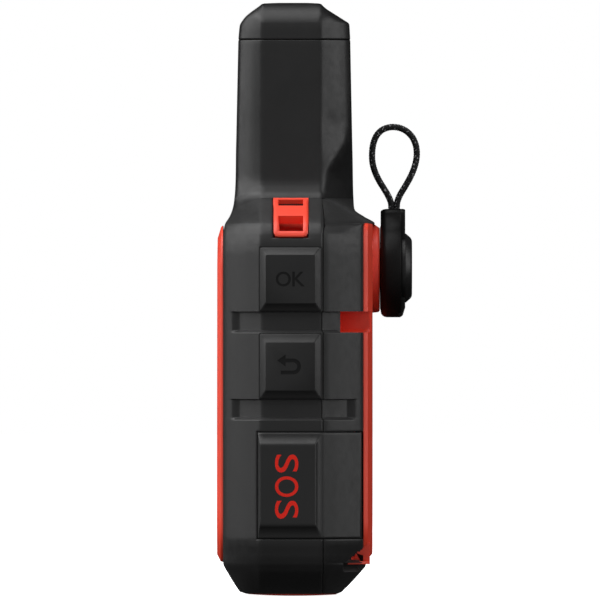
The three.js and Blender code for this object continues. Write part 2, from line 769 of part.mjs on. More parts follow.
const tetherCap = () =>
  lathedY(
    [
      [0, TETHER.capFoot],
      [TETHER.capRadius, TETHER.capFoot],
      [TETHER.capRadius, TETHER.outer + 0.25],
      [5.0, TETHER.capTop],
      [0, TETHER.capTop],
    ],
    32,
  );
const bayonetStem = () => {
  const foot = LOCK_FLOOR + 0.2;
  const width = box(-2.1, 2.1, 12, 14, MOUNT_Z - 6, MOUNT_Z + 6);
  const lugs = rod(0, MOUNT_Z, foot, 13.4, LUG_RADIUS, 32).intersect(width);
  return rod(0, MOUNT_Z, foot, 16.2, STEM_RADIUS, 24).add(lugs);
};
const cordCrimp = () => box(-1.0, 1.0, 15.3, 17.7, 59.6, 61.95);
const tetherCord = () =>
  sweep(
    new THREE.CatmullRomCurve3(
      CORD_POINTS.map(([y, z]) => new THREE.Vector3(0, y, z)),
      false,
      "centripetal",
    ),
    CORD_RADIUS,
    8,
    28,
  );

// ---------------------------------------------------------------- assembly
const material = (color, roughness, metalness = 0) =>
  new THREE.MeshStandardMaterial({ color, roughness, metalness });
const RED = material(0xdf4430, 0.5);
const RUBBER = material(0x1e1e1e, 0.75);
const BLACK = material(0x1b1b1b, 0.55);
const GLASS = material(0x0a0a0c, 0.08);
const SCREEN = material(0x9aa093, 0.35);
const BOARD = material(0x1d5c38, 0.5);
const SHIELD = material(0xb9bcc0, 0.3, 1);
const STEEL = material(0x8f9296, 0.35, 1);
const COPPER = material(0xb87333, 0.35, 1);
const CERAMIC = material(0xe8e6df, 0.6);
const CELL = material(0x2c4d7a, 0.5);
const FOAM = material(0x333333, 0.95);
const CORD = material(0x141416, 0.9);

const unit = new THREE.Group();
const addNode = (name, solid, finish) => {
  const mesh = new THREE.Mesh(toGeometry(solid), finish);
  mesh.name = name;
  unit.add(mesh);
};

addNode("front_shell", frontShell(), RED);
addNode("front_bumper", frontBumper(), RUBBER);
addNode("back_shell", backShell(), RED);
addNode("rear_bumper", rearBumper(), RUBBER);
addNode("housing_seal", housingSeal(), FOAM);
addNode("lanyard_anchor", lanyardAnchor(), RED);

addNode("display_window", displayWindow(), GLASS);
addNode("window_mask", windowMask(), BLACK);
addNode("display_panel", displayPanel(), SCREEN);
addNode("display_carrier", displayCarrier(), BLACK);

addNode("main_board", mainBoard(), BOARD);
addNode("modem_module", modemModule(), SHIELD);
addNode("processor_shield", processorShield(), SHIELD);
addNode("gnss_module", gnssModule(), SHIELD);
addNode("power_inductor", powerInductor(), FOAM);
addNode("buzzer", buzzer(), BLACK);
addNode("usb_socket", usbSocket(), STEEL);
addNode("battery_pack", batteryPack(), CELL);
addNode("battery_pad", batteryPad(), FOAM);

for (const [name, place] of Object.entries(keyPlaces)) addNode(name, key(place), RUBBER);
addNode("sos_cover", cover(SOS), RUBBER);
addNode("usb_cover", cover(USB), RUBBER);
addNode("sos_button", sosButton(), RED);
for (const [name, place] of Object.entries(switchZ)) addNode(name, tactSwitch(place), STEEL);
addNode("right_switch_board", switchBoard(1), BOARD);
addNode("left_switch_board", switchBoard(-1), BOARD);

addNode("antenna_radome", antennaRadome(), BLACK);
addNode("antenna_cap", antennaCap(), BLACK);
addNode("antenna_core", antennaCore(), CERAMIC);
for (let n = 0; n < 4; n++) addNode(`helix_wire_${n + 1}`, helixWire((n * Math.PI) / 2), COPPER);
addNode("antenna_board", antennaBoard(), BOARD);
addNode("antenna_coax", antennaCoax(), BLACK);

screwHoles(caseScrew).forEach((screw, i) => addNode(`case_screw_${i + 1}`, screw, STEEL));

addNode("tether_puck", tetherPuck(), BLACK);
addNode("tether_cap", tetherCap(), BLACK);
addNode("bayonet_stem", bayonetStem(), BLACK);
addNode("cord_crimp", cordCrimp(), STEEL);
addNode("tether_cord", tetherCord(), CORD);

export default unit;
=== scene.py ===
"""A pocket satellite GPS unit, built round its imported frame.

Sizes are in millimetres unless a name says otherwise.
"""

import math

import bmesh
import bpy
import numpy as np
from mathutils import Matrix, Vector


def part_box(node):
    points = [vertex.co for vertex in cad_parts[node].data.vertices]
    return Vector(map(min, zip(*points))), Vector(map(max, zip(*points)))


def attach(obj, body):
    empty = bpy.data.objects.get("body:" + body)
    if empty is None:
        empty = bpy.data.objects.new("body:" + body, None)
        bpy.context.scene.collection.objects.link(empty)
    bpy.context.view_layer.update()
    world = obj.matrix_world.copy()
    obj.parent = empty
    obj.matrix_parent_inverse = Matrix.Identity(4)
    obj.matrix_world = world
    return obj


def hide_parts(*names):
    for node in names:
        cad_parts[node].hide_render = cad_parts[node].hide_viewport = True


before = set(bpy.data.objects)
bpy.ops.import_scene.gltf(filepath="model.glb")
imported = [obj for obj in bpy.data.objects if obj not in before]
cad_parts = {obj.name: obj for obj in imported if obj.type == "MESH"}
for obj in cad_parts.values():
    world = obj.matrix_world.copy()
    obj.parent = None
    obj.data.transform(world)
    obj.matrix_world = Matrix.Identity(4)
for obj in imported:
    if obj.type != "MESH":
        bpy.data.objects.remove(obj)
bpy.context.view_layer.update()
MM = 0.001


def place(node):
    """The lowest and highest corners of a CAD node, in millimetres."""
    low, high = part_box(node)
    return np.array(low) / MM, np.array(high) / MM


# ------------------------------------------------------------------ driving dimensions
SIDE = 24.9  # centre to the flat side of the case
FRONT, BACK = -11.9, 11.42  # front and rear planes of the bumpers
FLAT_FRONT, FLAT_BACK = -5.7, 4.5  # edges of the flat side
BACK_HALF = 20.4  # half width of the back face
SEAM = 4.7  # plane where the front and rear halves meet
SEAM_GAP = 0.16
BUMPER = 1.3  # thickness of the overmoulded bumpers
SHELL_OUT, SHELL_IN = 1.45, 2.9  # depths of the hard shells' two faces
SHOULDER_Z = 62.0  # above this the case narrows to the neck
NECK_Z = 66.3
NECK_FRONT_Z = 64.3  # the neck's joint dips to here at the front
CAP_SEAM_Z = 92.8
SHOULDER_ROWS = (SHOULDER_Z, 62.05, 62.1, 62.5)  # heights of the ledge over the back plate
CLEARANCE = 0.12
TO_REAR, TO_TOP = 30.0, 80.0  # beyond the case: a slot that ends here runs right out of it
GROOVES = ((43.95, 47.45), (29.45, 32.9))
GROOVE_DEPTH = 0.9
GROOVE_FRONT, GROOVE_BACK = -10.65, 10.3
GROOVE_RED = 7.6  # behind this the upper groove goes through to the red shell
RED_FLOOR = 15.9  # centre to the upper groove's red floor, at its front end
# The wedge of each strap notch rises from its front corner to its rear one, both given as y and z.
NOTCH = ((8.35, 5.6), (12.6, 9.05))
NOTCH_FLOOR = (16.3, 16.9)  # centre to its red floor, at the foot and at the top
NOTCH_STEPS = (5.6, 5.9, 6.2, 6.5, 6.8, 7.1, 7.4, 7.7, 8.0, 8.3)  # its foot, and where its upper edge steps
POCKET = (8.25, 4.1)  # front and foot of the pocket below each notch
# The red channel in the upper groove: place along y, its floor, and how far out its walls stand.
CHANNEL = ((7.0, 21.4, 21.4), (7.3, 21.4, 21.4), (7.31, 15.9, 21.4), (11.3, 16.6, 19.0), (12.5, 16.9, 17.0))
SLAB_HALF, SLAB_TOP = 18.1, 60.2  # half width and top of the opening under the back plate
HINGE = (20.1, 10.6)  # the axis that the covers swing on, x and y
COVER_EDGE = 19.38  # centre to the edge of the covers' slots on the back
COVER_WALL = 1.2
MOUNT_Z = 54.7  # height of the bayonet's axis
SCREWS = ((12.6, 11.2), (13.2, 58.6))  # x and z of the right-hand screws

# Stations: height, half width, front, back, half width of the front face and of the back face.
CASE = (
    (0.34, 14.6, -8.0, 7.1, 12.4, 12.0),
    (0.5, 16.4, -8.85, 7.75, 13.6, 13.2),
    (0.8, 17.4, -9.2, 8.0, 14.2, 13.8),
    (1.75, 19.6, -9.85, 8.95, 15.6, 15.4),
    (4.0, 22.6, -11.2, 11.0, 17.2, 17.6),
    (5.0, 23.3, -11.75, 11.85, 17.9, 18.2),
    (5.3, 23.5, -11.86, 11.9, 18.0, 18.4),
    (5.6, 23.65, -11.9, BACK, 18.1, 18.6),
    (7.0, 24.2, FRONT, BACK, 18.4, 19.3),
    (10.0, SIDE, FRONT, BACK, 19.0, BACK_HALF),
    (57.0, SIDE, FRONT, BACK, 19.0, BACK_HALF),
    (58.6, 24.82, FRONT, BACK, 18.8, 20.3),
    (60.2, 24.45, -11.88, BACK, 18.35, 19.9),
    (61.2, 23.95, -11.78, BACK, 17.8, 19.5),
    (62.0, 23.35, -11.6, BACK, 17.15, 19.0),
    (62.1, 23.25, -11.56, 13.4, 17.05, 8.5),
    (63.3, 21.4, -10.82, 11.6, 15.5, 8.0),
    (64.5, 19.0, -10.36, 10.0, 13.5, 7.5),
    (65.6, 16.7, -10.13, 9.88, 12.4, 6.4),
    (NECK_Z, 15.3, -10.05, 9.85, 11.9, 5.6),
)
# Where the ridge of the rear bevel runs: across the shoulder it climbs from the rear edge to the neck.
CASE_RIDGE = {
    61.2: (20.9, 9.6), 62.0: (19.4, 11.15), 62.1: (19.3, 11.15), 63.3: (18.1, 9.9),
    64.5: (16.8, 8.2), 65.6: (15.7, 6.2), NECK_Z: (15.0, 4.9),
}
ANTENNA = (
    (NECK_Z + 0.03, 15.3, -10.05, 9.85, 11.8, 5.6),
    (67.4, 14.4, -9.95, 9.8, 10.9, 5.8),
    (69.8, 13.6, -9.85, 9.75, 10.2, 6.2),
    (72.0, 13.5, -9.82, 9.72, 10.15, 7.0),
    (74.0, 13.4, -9.8, 9.68, 10.1, 7.7),
    (76.0, 13.32, -9.75, 9.63, 10.05, 8.4),
    (78.5, 13.2, -9.7, 9.58, 10.0, 9.0),
    (81.0, 13.12, -9.65, 9.53, 9.95, 9.25),
    (CAP_SEAM_Z - 0.08, 12.7, -9.4, 9.3, 9.4, 9.0),
)
ANTENNA_RIDGE = {
    NECK_Z + 0.03: (15.0, 4.9), 67.4: (14.1, 4.9), 69.8: (13.25, 5.1), 72.0: (12.7, 6.15), 74.0: (11.9, 7.4),
    76.0: (10.75, 8.55), 78.5: (10.6, 8.3),
}
CAP = (
    (CAP_SEAM_Z + 0.04, 12.7, -9.4, 9.3, 9.4, 9.0),
    (94.6, 12.6, -9.24, 9.2, 9.35, 8.95),
    (95.3, 12.5, -9.14, 9.15, 9.3, 8.9),
    (95.6, 12.44, -8.98, 9.0, 9.35, 8.95),
    (96.0, 12.3, -8.72, 8.4, 9.5, 9.2),
    (96.6, 12.0, -8.25, 7.45, 9.7, 9.5),
    (97.3, 11.5, -7.45, 6.35, 9.8, 9.75),
    (98.0, 10.8, -6.5, 5.25, 9.7, 9.8),
    (98.5, 10.1, -5.8, 4.7, 9.4, 9.5),
    (98.75, 9.6, -5.5, 4.45, 9.1, 9.2),
    (98.88, 9.0, -5.0, 4.0, 8.4, 8.5),
    (99.0, 6.6, -2.8, 2.1, 6.0, 6.0),
)


# ------------------------------------------------------------------ small maths and outlines
def smoothstep(low, high, x):
    t = np.clip((x - low) / (high - low), 0, 1)
    return t * t * (3 - 2 * t)


def band(x, low, high, rise, fall):
    """1 between low and high, with a smooth rise and fall inside them."""
    return smoothstep(low, low + rise, x) * (1 - smoothstep(high - fall, high, x))


def monotone(xs, ys, x):
    """A smooth curve through (xs, ys) that never overshoots them."""
    gaps = np.diff(xs)
    slopes = np.diff(ys) / gaps
    product = slopes[:-1] * slopes[1:]
    total = slopes[:-1] + slopes[1:]
    inner = np.where(product > 0, 2 * product / np.where(total == 0, 1, total), 0)
    tangents = np.concatenate([[slopes[0]], inner, [slopes[-1]]])
    i = np.clip(np.searchsorted(xs, x) - 1, 0, len(gaps) - 1)
    t = np.clip((x - xs[i]) / gaps[i], 0, 1)
    first = (1 + 2 * t) * (1 - t) ** 2 * ys[i] + t * (1 - t) ** 2 * gaps[i] * tangents[i]
    second = t * t * (3 - 2 * t) * ys[i + 1] + t * t * (t - 1) * gaps[i] * tangents[i + 1]
    return first + second


def unit(v):
    return v / np.linalg.norm(v, axis=-1, keepdims=True)


def offset_path(points, inset):
    """Moves each edge of an anticlockwise path inwards, for many paths at once."""
    along = unit(points[:, 1:] - points[:, :-1])
    inward = np.stack([-along[..., 1], along[..., 0]], -1)
    starts = points[:, :-1] + inward * inset[:, None, None]
    moved = points.copy()
    moved[:, 0] = starts[:, 0]
    moved[:, -1] = points[:, -1] + inward[:, -1] * inset[:, None]
    a, b = along[:, :-1], along[:, 1:]
    gap = starts[:, 1:] - starts[:, :-1]
    cross = a[..., 0] * b[..., 1] - a[..., 1] * b[..., 0]
    t = (gap[..., 0] * b[..., 1] - gap[..., 1] * b[..., 0]) / cross
    moved[:, 1:-1] = starts[:, :-1] + a * t[..., None]
    return moved


class Form:
    """A lofted body with eight facets, whose slanted facets bulge to a ridge."""

    RADII = (0, 0.7, 4.0, 0.5, 0.5, 4.0, 0.7, 0)

    def __init__(self, stations, bulges=(0.5, 0.4), flat=(FLAT_FRONT, FLAT_BACK), ridge=(), level=False,
                 hold=0.65):
        self.heights = np.array([station[0] for station in stations], float)
        self.flat = flat
        self.level = level
        outlines = []
        for z, half, front, back, front_half, back_half in stations:
            points = [(0, front), (front_half, front), (half, max(flat[0], hold * front)),
                      (half, min(flat[1], hold * back)), (back_half, back), (0, back)]
            points = [np.array(p, float) for p in points]
            for i, bulge in ((3, bulges[1]), (1, bulges[0])):
                along = points[i + 1] - points[i]
                outward = unit(np.array([along[1], -along[0]]))
                swell = bulge * min(1, np.linalg.norm(along) / 4)
                middle = (points[i] + points[i + 1]) / 2 + outward * swell
                if i == 3 and z in ridge:
                    middle = np.array(ridge[z], float)
                points.insert(i + 1, middle)
            outlines.append(points)
        self.outlines = np.array(outlines)

    def corners(self, z, inset):
        points = np.empty((len(z), 8, 2))
        for i in range(8):
            for k in range(2):
                points[:, i, k] = monotone(self.heights, self.outlines[:, i, k], z)
        near = 0.05
        half = self.outlines[:, 3, 0]
        lean = monotone(self.heights, half, z + near) - monotone(self.heights, half, z - near)
        lean /= np.minimum(z + near, self.heights[-1]) - np.maximum(z - near, self.heights[0])
        length = np.hypot(lean, 1)
        sideways = np.ones_like(z) if self.level else np.maximum(1 / length, 0.45)
        rise = np.zeros_like(z) if self.level else inset * lean / length
        return offset_path(points, inset * sideways), z + rise

    def column(self, z, segment, t, inset):
        """One column of surface points at heights z, rounded near the facets' edges."""
        corners, heights = self.corners(z, inset)
        a, b = corners[:, segment], corners[:, segment + 1]
        length = np.linalg.norm(b - a, axis=-1)
        point = a + (b - a) * t
        for corner, distance, sign in ((segment, t * length, 1), (segment + 1, (1 - t) * length, -1)):
            if self.RADII[corner] == 0:
                continue
            here = corners[:, corner]
            back = corners[:, corner - 1] - here
            ahead = corners[:, corner + 1] - here
            room = np.minimum(np.linalg.norm(back, axis=-1), np.linalg.norm(ahead, axis=-1))
            radius = np.minimum(self.RADII[corner], 0.48 * room)
            u = np.clip(0.5 + 0.5 * sign * distance / radius, 0, 1)[:, None]
            start = here + unit(back) * radius[:, None]
            end = here + unit(ahead) * radius[:, None]
            curve = (1 - u) ** 2 * start + 2 * u * (1 - u) * here + u * u * end
            point = np.where((distance < radius)[:, None], curve, point)
        return point, heights

    def columns_at(self, fronts, sides, backs, side=1):
        """Columns at given x on the front face, y on the side, and x on the back face."""
        corners = self.corners(np.array([(self.heights[0] + self.heights[-1]) / 2]), np.zeros(1))[0][0]
        made = [(0, x / corners[1, 0], side) for x in fronts]
        for y in sides:
            segment = int(np.clip(np.searchsorted(corners[1:7, 1], y, side="right"), 1, 5))
            a, b = corners[segment], corners[segment + 1]
            made.append((segment, float(np.clip((y - a[1]) / (b[1] - a[1]), 0, 1)), side))
        made += [(6, (corners[6, 0] - x) / corners[6, 0], side) for x in backs]
        return made

    def surface(self, rows, columns, inset=0.0, top=None):
        """Points for rows of (height, scale) and columns of (facet, share, side)."""
        heights = np.array([z for z, _ in rows], float)
        scale = np.array([s for _, s in rows], float)
        grid = np.empty((len(rows), len(columns), 3))
        for c, (segment, t, side) in enumerate(columns):
            z = heights if top is None else top(heights, segment, t)
            xy, lifted = self.column(z, segment, t, np.full(len(rows), float(inset)))
            middle = SEAM if top is not None else 0.0
            grid[:, c, 0] = side * xy[:, 0] * scale
            grid[:, c, 1] = middle + (xy[:, 1] - middle) * scale
            grid[:, c, 2] = lifted
        return grid


def neck_dip(segment, t):
    """The drop of the neck's joint: 0 on the side, rising across the front bevel to 1 on the front."""
    if segment > 2:
        return 0.0
    share = max(0.0, (segment - 1 + t) / 2)
    return 1 - share**0.85


def dipping_neck(heights, segment, t):
    """Lowers the neck's joint towards the front."""
    top = NECK_Z - (NECK_Z - NECK_FRONT_Z) * neck_dip(segment, t)
    share = (top - SHOULDER_Z) / (NECK_Z - SHOULDER_Z)
    return np.where(heights > SHOULDER_Z, SHOULDER_Z + (heights - SHOULDER_Z) * share, heights)


def lines(low, high, step, marks=(), near=(0.1, 0.22)):
    """Evenly spaced values, with extra ones on and beside each mark."""
    values = list(np.linspace(low, high, max(2, int(round((high - low) / step)) + 1)))
    fixed = [low, high]
    for mark in marks:
        fixed += [mark]
        fixed += [mark + sign * d for d in near for sign in (-1, 1)]
    fixed = sorted(v for v in set(fixed) if low <= v <= high)
    kept = list(fixed)
    for v in values:
        if min(abs(v - f) for f in fixed) > 0.3 * step:
            kept.append(v)
    kept.sort()
    tidy = [kept[0]]
    for v in kept[1:]:
        if v - tidy[-1] > 0.035:
            tidy.append(v)
    return tidy


def full_rows(heights):
    """Rows of a surface at its full width."""
    return [(z, 1.0) for z in heights]


def left_of(columns):
    """The same columns on the left side, in the opposite order."""
    return [(segment, t, -1) for segment, t, _ in reversed(columns)]


def bend(start, corner, end, steps):
    """Points round a soft bend from start to end."""
    return [(1 - u) ** 2 * start + 2 * u * (1 - u) * corner + u * u * end for u in np.linspace(0, 1, steps)]


def circle(steps):
    """Points evenly round a unit circle."""
    angles = np.linspace(0, 2 * math.pi, steps, endpoint=False)
    return np.column_stack([np.cos(angles), np.sin(angles)])


# ------------------------------------------------------------------ meshes
def new_object(name, vertices, faces, material, angle=34, bevel=0.0, body="housing", node=None):
    """A closed piece from vertices in millimetres, riding on its body."""
    mesh = bpy.data.meshes.new(name)
    mesh.from_pydata((np.asarray(vertices, float) * MM).tolist(), [], faces)
    work = bmesh.new()
    work.from_mesh(mesh)
    bmesh.ops.remove_doubles(work, verts=work.verts, dist=2e-6)
    bmesh.ops.delete(work, geom=[v for v in work.verts if not v.link_faces], context="VERTS")
    bmesh.ops.recalc_face_normals(work, faces=work.faces)
    work.to_mesh(mesh)
    work.free()
    piece = bpy.data.objects.new(name, mesh)
    bpy.context.scene.collection.objects.link(piece)
    mesh.materials.append(material)
    if bevel:
        edges = piece.modifiers.new("edges", "BEVEL")
        edges.width = bevel * MM
        edges.segments = 3
        edges.limit_method = "ANGLE"
        edges.angle_limit = math.radians(angle)
        bake_modifiers(piece)
    smooth(piece, angle)
    finish_piece(piece, body, node)
    return piece


def finish_piece(piece, body, node):
    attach(piece, body)
    if node:
        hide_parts(node)


def smooth(piece, angle):
    piece.data.shade_smooth()
    piece.data.set_sharp_from_angle(angle=math.radians(angle))


def bake_modifiers(piece):
    graph = bpy.context.evaluated_depsgraph_get()
    graph.update()
    mesh = bpy.data.meshes.new_from_object(piece.evaluated_get(graph))
    piece.modifiers.clear()
    piece.data = mesh


def two_skins(name, outer, inner, keep, material, wrap=False, closed_start=False, closed_end=False, **more):
    """A wall between two grids: both skins where keep is true, and the walls round its edges."""
    rows, columns = outer.shape[:2]
    count = rows * columns
    cells = np.zeros((keep.shape[0] + 2, keep.shape[1] + 2), bool)
    cells[1:-1, 1:-1] = keep
    if wrap:
        cells[1:-1, 0] = keep[:, -1]
        cells[1:-1, -1] = keep[:, 0]
    if closed_start:
        cells[0] = True
    if closed_end:
        cells[-1] = True
    faces = []
    for r, c in zip(*np.nonzero(keep)):
        after = (c + 1) % columns
        a, b = r * columns + c, r * columns + after
        d, e = a + columns, b + columns
        faces.append((a, b, e, d))
        faces.append((a + count, d + count, e + count, b + count))
        for missing, (p, q) in (
            (not cells[r, c + 1], (a, b)),
            (not cells[r + 2, c + 1], (e, d)),
            (not cells[r + 1, c], (d, a)),
            (not cells[r + 1, c + 2], (b, e)),
        ):
            if missing:
                faces.append((p, p + count, q + count, q))
    vertices = np.concatenate([outer.reshape(-1, 3), inner.reshape(-1, 3)])
    return new_object(name, vertices, faces, material, **more)


def no_openings(points):
    return np.zeros(points.shape[:-1], bool)


def skin(name, form, rows, columns, material, wall, start=0.0, depth=None, opening=no_openings, top=None,
         wrap=False, **more):
    """A wall that follows a form. depth sinks its face into it, and opening says where it is cut through."""
    base = form.surface(rows, columns, start, top)
    inward = form.surface(rows, columns, start + 1.0, top) - base
    sunk = np.zeros(base.shape[:2]) if depth is None else depth(base)
    outer = base + inward * sunk[..., None]
    inner = base + inward * np.maximum(wall, sunk + 0.35)[..., None]
    ring = np.concatenate([base, base[:, :1]], 1) if wrap else base
    middles = (ring[:-1, :-1] + ring[1:, :-1] + ring[:-1, 1:] + ring[1:, 1:]) / 4
    return two_skins(name, outer, inner, ~opening(middles), material, wrap, **more)


def rounded(points, radius, steps=5):
    """A closed outline with its corners rounded, always with the same number of points."""
    points = np.asarray(points, float)
    made = []
    for i, p in enumerate(points):
        back, ahead = points[i - 1] - p, points[(i + 1) % len(points)] - p
        reach = [min(radius, 0.48 * np.linalg.norm(v)) for v in (back, ahead)]
        start = p + back / max(np.linalg.norm(back), 1e-9) * reach[0]
        end = p + ahead / max(np.linalg.norm(ahead), 1e-9) * reach[1]
        made += bend(start, p, end, steps)
    return np.array(made)


def rings(name, loops, material, closed=False, **more):
    """A skin over loops of equally many points: closed on itself like a tyre, or flat at both ends."""
    loops = np.array(loops)
    count, size = loops.shape[:2]
    faces = []
    for r in range(count if closed else count - 1):
        for i in range(size):
            a, b = r * size + i, r * size + (i + 1) % size
            c, d = (a + size) % (count * size), (b + size) % (count * size)
            faces.append((a, b, d, c))
    if not closed:
        faces.append(tuple(range(size))[::-1])
        faces.append(tuple(range((count - 1) * size, count * size)))
    return new_object(name, loops.reshape(-1, 3), faces, material, **more)


def in_xz(outline, y):
    outline = np.asarray(outline)
    return np.column_stack([outline[:, 0], np.full(len(outline), y), outline[:, 1]])


def in_yz(outline, x):
    outline = np.asarray(outline)
    return np.column_stack([np.full(len(outline), x), outline])


def turned(name, profile, centre, material, steps=72, closed=False, **more):
    """Turns a profile of (radius, y) about an axis along Y through centre, which is (x, z)."""
    loops = [in_xz(np.array(centre) + r * circle(steps), y) for r, y in profile]
    return rings(name, loops, material, closed=closed, **more)


def rect(y0, y1, z0, z1):
    return [(y0, z0), (y1, z0), (y1, z1), (y0, z1)]


def bar(name, outline, x0, x1, material, **more):
    """A solid between x0 and x1 with an outline of (y, z)."""
    return rings(name, [in_yz(outline, x) for x in (x0, x1)], material, **more)


def soft_profile(points, radius, steps=4):
    """Rounds the inner corners of an open profile."""
    points = np.asarray(points, float)
    made = [points[0]]
    for before, p, after in zip(points[:-2], points[1:-1], points[2:]):
        reach = min(radius, 0.45 * np.linalg.norm(before - p), 0.45 * np.linalg.norm(after - p))
        start = p + unit(before - p) * reach
        end = p + unit(after - p) * reach
        made += bend(start, p, end, steps)
    made.append(points[-1])
    return np.array(made)


def mirrored(half):
    return list(half) + [(-x, z) for x, z in reversed(half)]


def shrunk(outline, by, centre_z=34.0):
    return [(x - math.copysign(by, x), z - math.copysign(by, z - centre_z)) for x, z in outline]


# ------------------------------------------------------------------ materials
def node_tree(name):
    material = bpy.data.materials.new(name)
    material.use_nodes = True
    tree = material.node_tree
    return material, tree, tree.nodes["Principled BSDF"]


def add(tree, kind, **sockets):
    made = tree.nodes.new(kind)
    for key, value in sockets.items():
        made.inputs[key.replace("_", " ")].default_value = value
    return made


def noise(tree, scale, detail=3.0, roughness=0.5):
    """Noise in the piece's own space; scale is per metre."""
    where = tree.nodes.new("ShaderNodeTexCoord")
    texture = add(tree, "ShaderNodeTexNoise", Scale=scale, Detail=detail, Roughness=roughness)
    tree.links.new(where.outputs["Object"], texture.inputs["Vector"])
    return texture


def ramp(tree, source, low, high, low_color, high_color):
    made = tree.nodes.new("ShaderNodeValToRGB")
    for element, position, color in zip(made.color_ramp.elements, (low, high), (low_color, high_color)):
        element.position = position
        element.color = (*color, 1)
    tree.links.new(source, made.inputs["Fac"])
    return made.outputs["Color"]


def grey(value):
    return (value, value, value)


GLOSS_SPREAD = 0.07  # how far a moulded surface's roughness wanders either way


def moulded(name, color, roughness, grain=9000.0, bump=0.08, variation=0.12, coat=0.0, metallic=0.0,
            sheen=0.0, specular=0.5):
    """A moulded surface: fine grain, cloudy colour variation and uneven gloss."""
    material, tree, shader = node_tree(name)
    cloud = noise(tree, 160.0, 4.0, 0.6)
    dark, light = (tuple(np.array(color) * share) for share in (1 - variation, 1 + variation))
    tint = ramp(tree, cloud.outputs["Fac"], 0.3, 0.7, dark, light)
    tree.links.new(tint, shader.inputs["Base Color"])
    scuff = noise(tree, 900.0, 5.0, 0.65)
    smoothest, roughest = grey(roughness - GLOSS_SPREAD), grey(roughness + GLOSS_SPREAD)
    gloss = ramp(tree, scuff.outputs["Fac"], 0.3, 0.72, smoothest, roughest)
    tree.links.new(gloss, shader.inputs["Roughness"])
    fine = noise(tree, grain, 2.0, 0.5)
    relief = add(tree, "ShaderNodeBump", Strength=bump, Distance=0.00005)
    tree.links.new(fine.outputs["Fac"], relief.inputs["Height"])
    tree.links.new(relief.outputs["Normal"], shader.inputs["Normal"])
    shader.inputs["Coat Weight"].default_value = coat
    shader.inputs["Metallic"].default_value = metallic
    shader.inputs["Sheen Weight"].default_value = sheen
    shader.inputs["Specular IOR Level"].default_value = specular
    return material


def window_material():
    """A clear cover with faint smears in its gloss."""
    material, tree, shader = node_tree("window_glass")
    smear = noise(tree, 220.0, 4.0, 0.6)
    gloss = ramp(tree, smear.outputs["Fac"], 0.35, 0.75, grey(0.05), grey(0.09))
    tree.links.new(gloss, shader.inputs["Roughness"])
    tint = ramp(tree, smear.outputs["Fac"], 0.3, 0.8, grey(0.012), grey(0.02))
    tree.links.new(tint, shader.inputs["Base Color"])
    shader.inputs["Alpha"].default_value = 0.22
    return material


def screen_material():
    """An unlit transflective display, with its pixel grid."""
    material, tree, shader = node_tree("display_film")
    where = tree.nodes.new("ShaderNodeTexCoord")
    pixels = add(tree, "ShaderNodeTexBrick", Scale=1.0, Mortar_Size=0.08)
    pixels.offset = 0.0
    pixels.inputs["Color1"].default_value = (0.205, 0.225, 0.185, 1)
    pixels.inputs["Color2"].default_value = (0.22, 0.24, 0.20, 1)
    pixels.inputs["Mortar"].default_value = (0.15, 0.165, 0.135, 1)
    pixels.inputs["Brick Width"].default_value = 1.0
    pixels.inputs["Row Height"].default_value = 1.0
    mapping = tree.nodes.new("ShaderNodeMapping")
    mapping.inputs["Rotation"].default_value = (math.pi / 2, 0, 0)
    mapping.inputs["Scale"].default_value = (5500, 5500, 5500)
    tree.links.new(where.outputs["Object"], mapping.inputs["Vector"])
    tree.links.new(mapping.outputs["Vector"], pixels.inputs["Vector"])
    tree.links.new(pixels.outputs["Color"], shader.inputs["Base Color"])
    shader.inputs["Roughness"].default_value = 0.32
    return material


def cord_material():
    """Black braid with a few light tracer threads."""
    material, tree, shader = node_tree("braid")
    thread = noise(tree, 2600.0, 1.0, 0.4)
    color = ramp(tree, thread.outputs["Fac"], 0.62, 0.68, (0.005, 0.005, 0.0055), (0.30, 0.30, 0.31))
    tree.links.new(color, shader.inputs["Base Color"])
    fibre = noise(tree, 14000.0, 2.0, 0.6)
    relief = add(tree, "ShaderNodeBump", Strength=0.5, Distance=0.00006)
    tree.links.new(fibre.outputs["Fac"], relief.inputs["Height"])
    tree.links.new(relief.outputs["Normal"], shader.inputs["Normal"])
    shader.inputs["Roughness"].default_value = 0.62
    shader.inputs["Sheen Weight"].default_value = 0.08
    shader.inputs["Specular IOR Level"].default_value = 0.25
    return material


RUBBER = moulded("soft_rubber", (0.012, 0.012, 0.0122), 0.42, bump=0.16, sheen=0.06, specular=0.4)
KEY_RUBBER = moulded("key_rubber", (0.011, 0.011, 0.0112), 0.4, bump=0.12, sheen=0.04, specular=0.4)
BLACK = moulded("black_plastic", (0.011, 0.011, 0.0112), 0.38, bump=0.1, specular=0.4)
PUCK_BLACK = moulded("puck_plastic", (0.005, 0.005, 0.005), 0.42, bump=0.08, specular=0.14)
RED = moulded("red_plastic", (0.86, 0.066, 0.034), 0.42, bump=0.07, variation=0.05)
RED_RUBBER = moulded("red_rubber", (0.62, 0.045, 0.03), 0.5, bump=0.1, variation=0.08)
LEGEND_RED = moulded("legend_red", (0.74, 0.02, 0.01), 0.45, bump=0.05, variation=0.04, specular=0.2)
LEGEND_DARK = moulded("legend_dark", (0.006, 0.006, 0.0063), 0.36, bump=0.04, specular=0.23)
SEAL = moulded("seal_rubber", (0.04, 0.04, 0.045), 0.6)
GLASS = window_material()
MASK = moulded("mask_ink", (0.008, 0.008, 0.009), 0.3, bump=0.02)
SCREEN = screen_material()
BOARD = moulded("circuit_board", (0.012, 0.10, 0.045), 0.38, grain=3000, bump=0.3, variation=0.25)
SHIELD = moulded("shield_metal", (0.62, 0.62, 0.63), 0.3, grain=5000, bump=0.06, metallic=1.0)
STEEL = moulded("screw_steel", (0.33, 0.33, 0.34), 0.32, grain=7000, bump=0.05, metallic=1.0)
FERRITE = moulded("ferrite", (0.06, 0.06, 0.065), 0.6, bump=0.3)
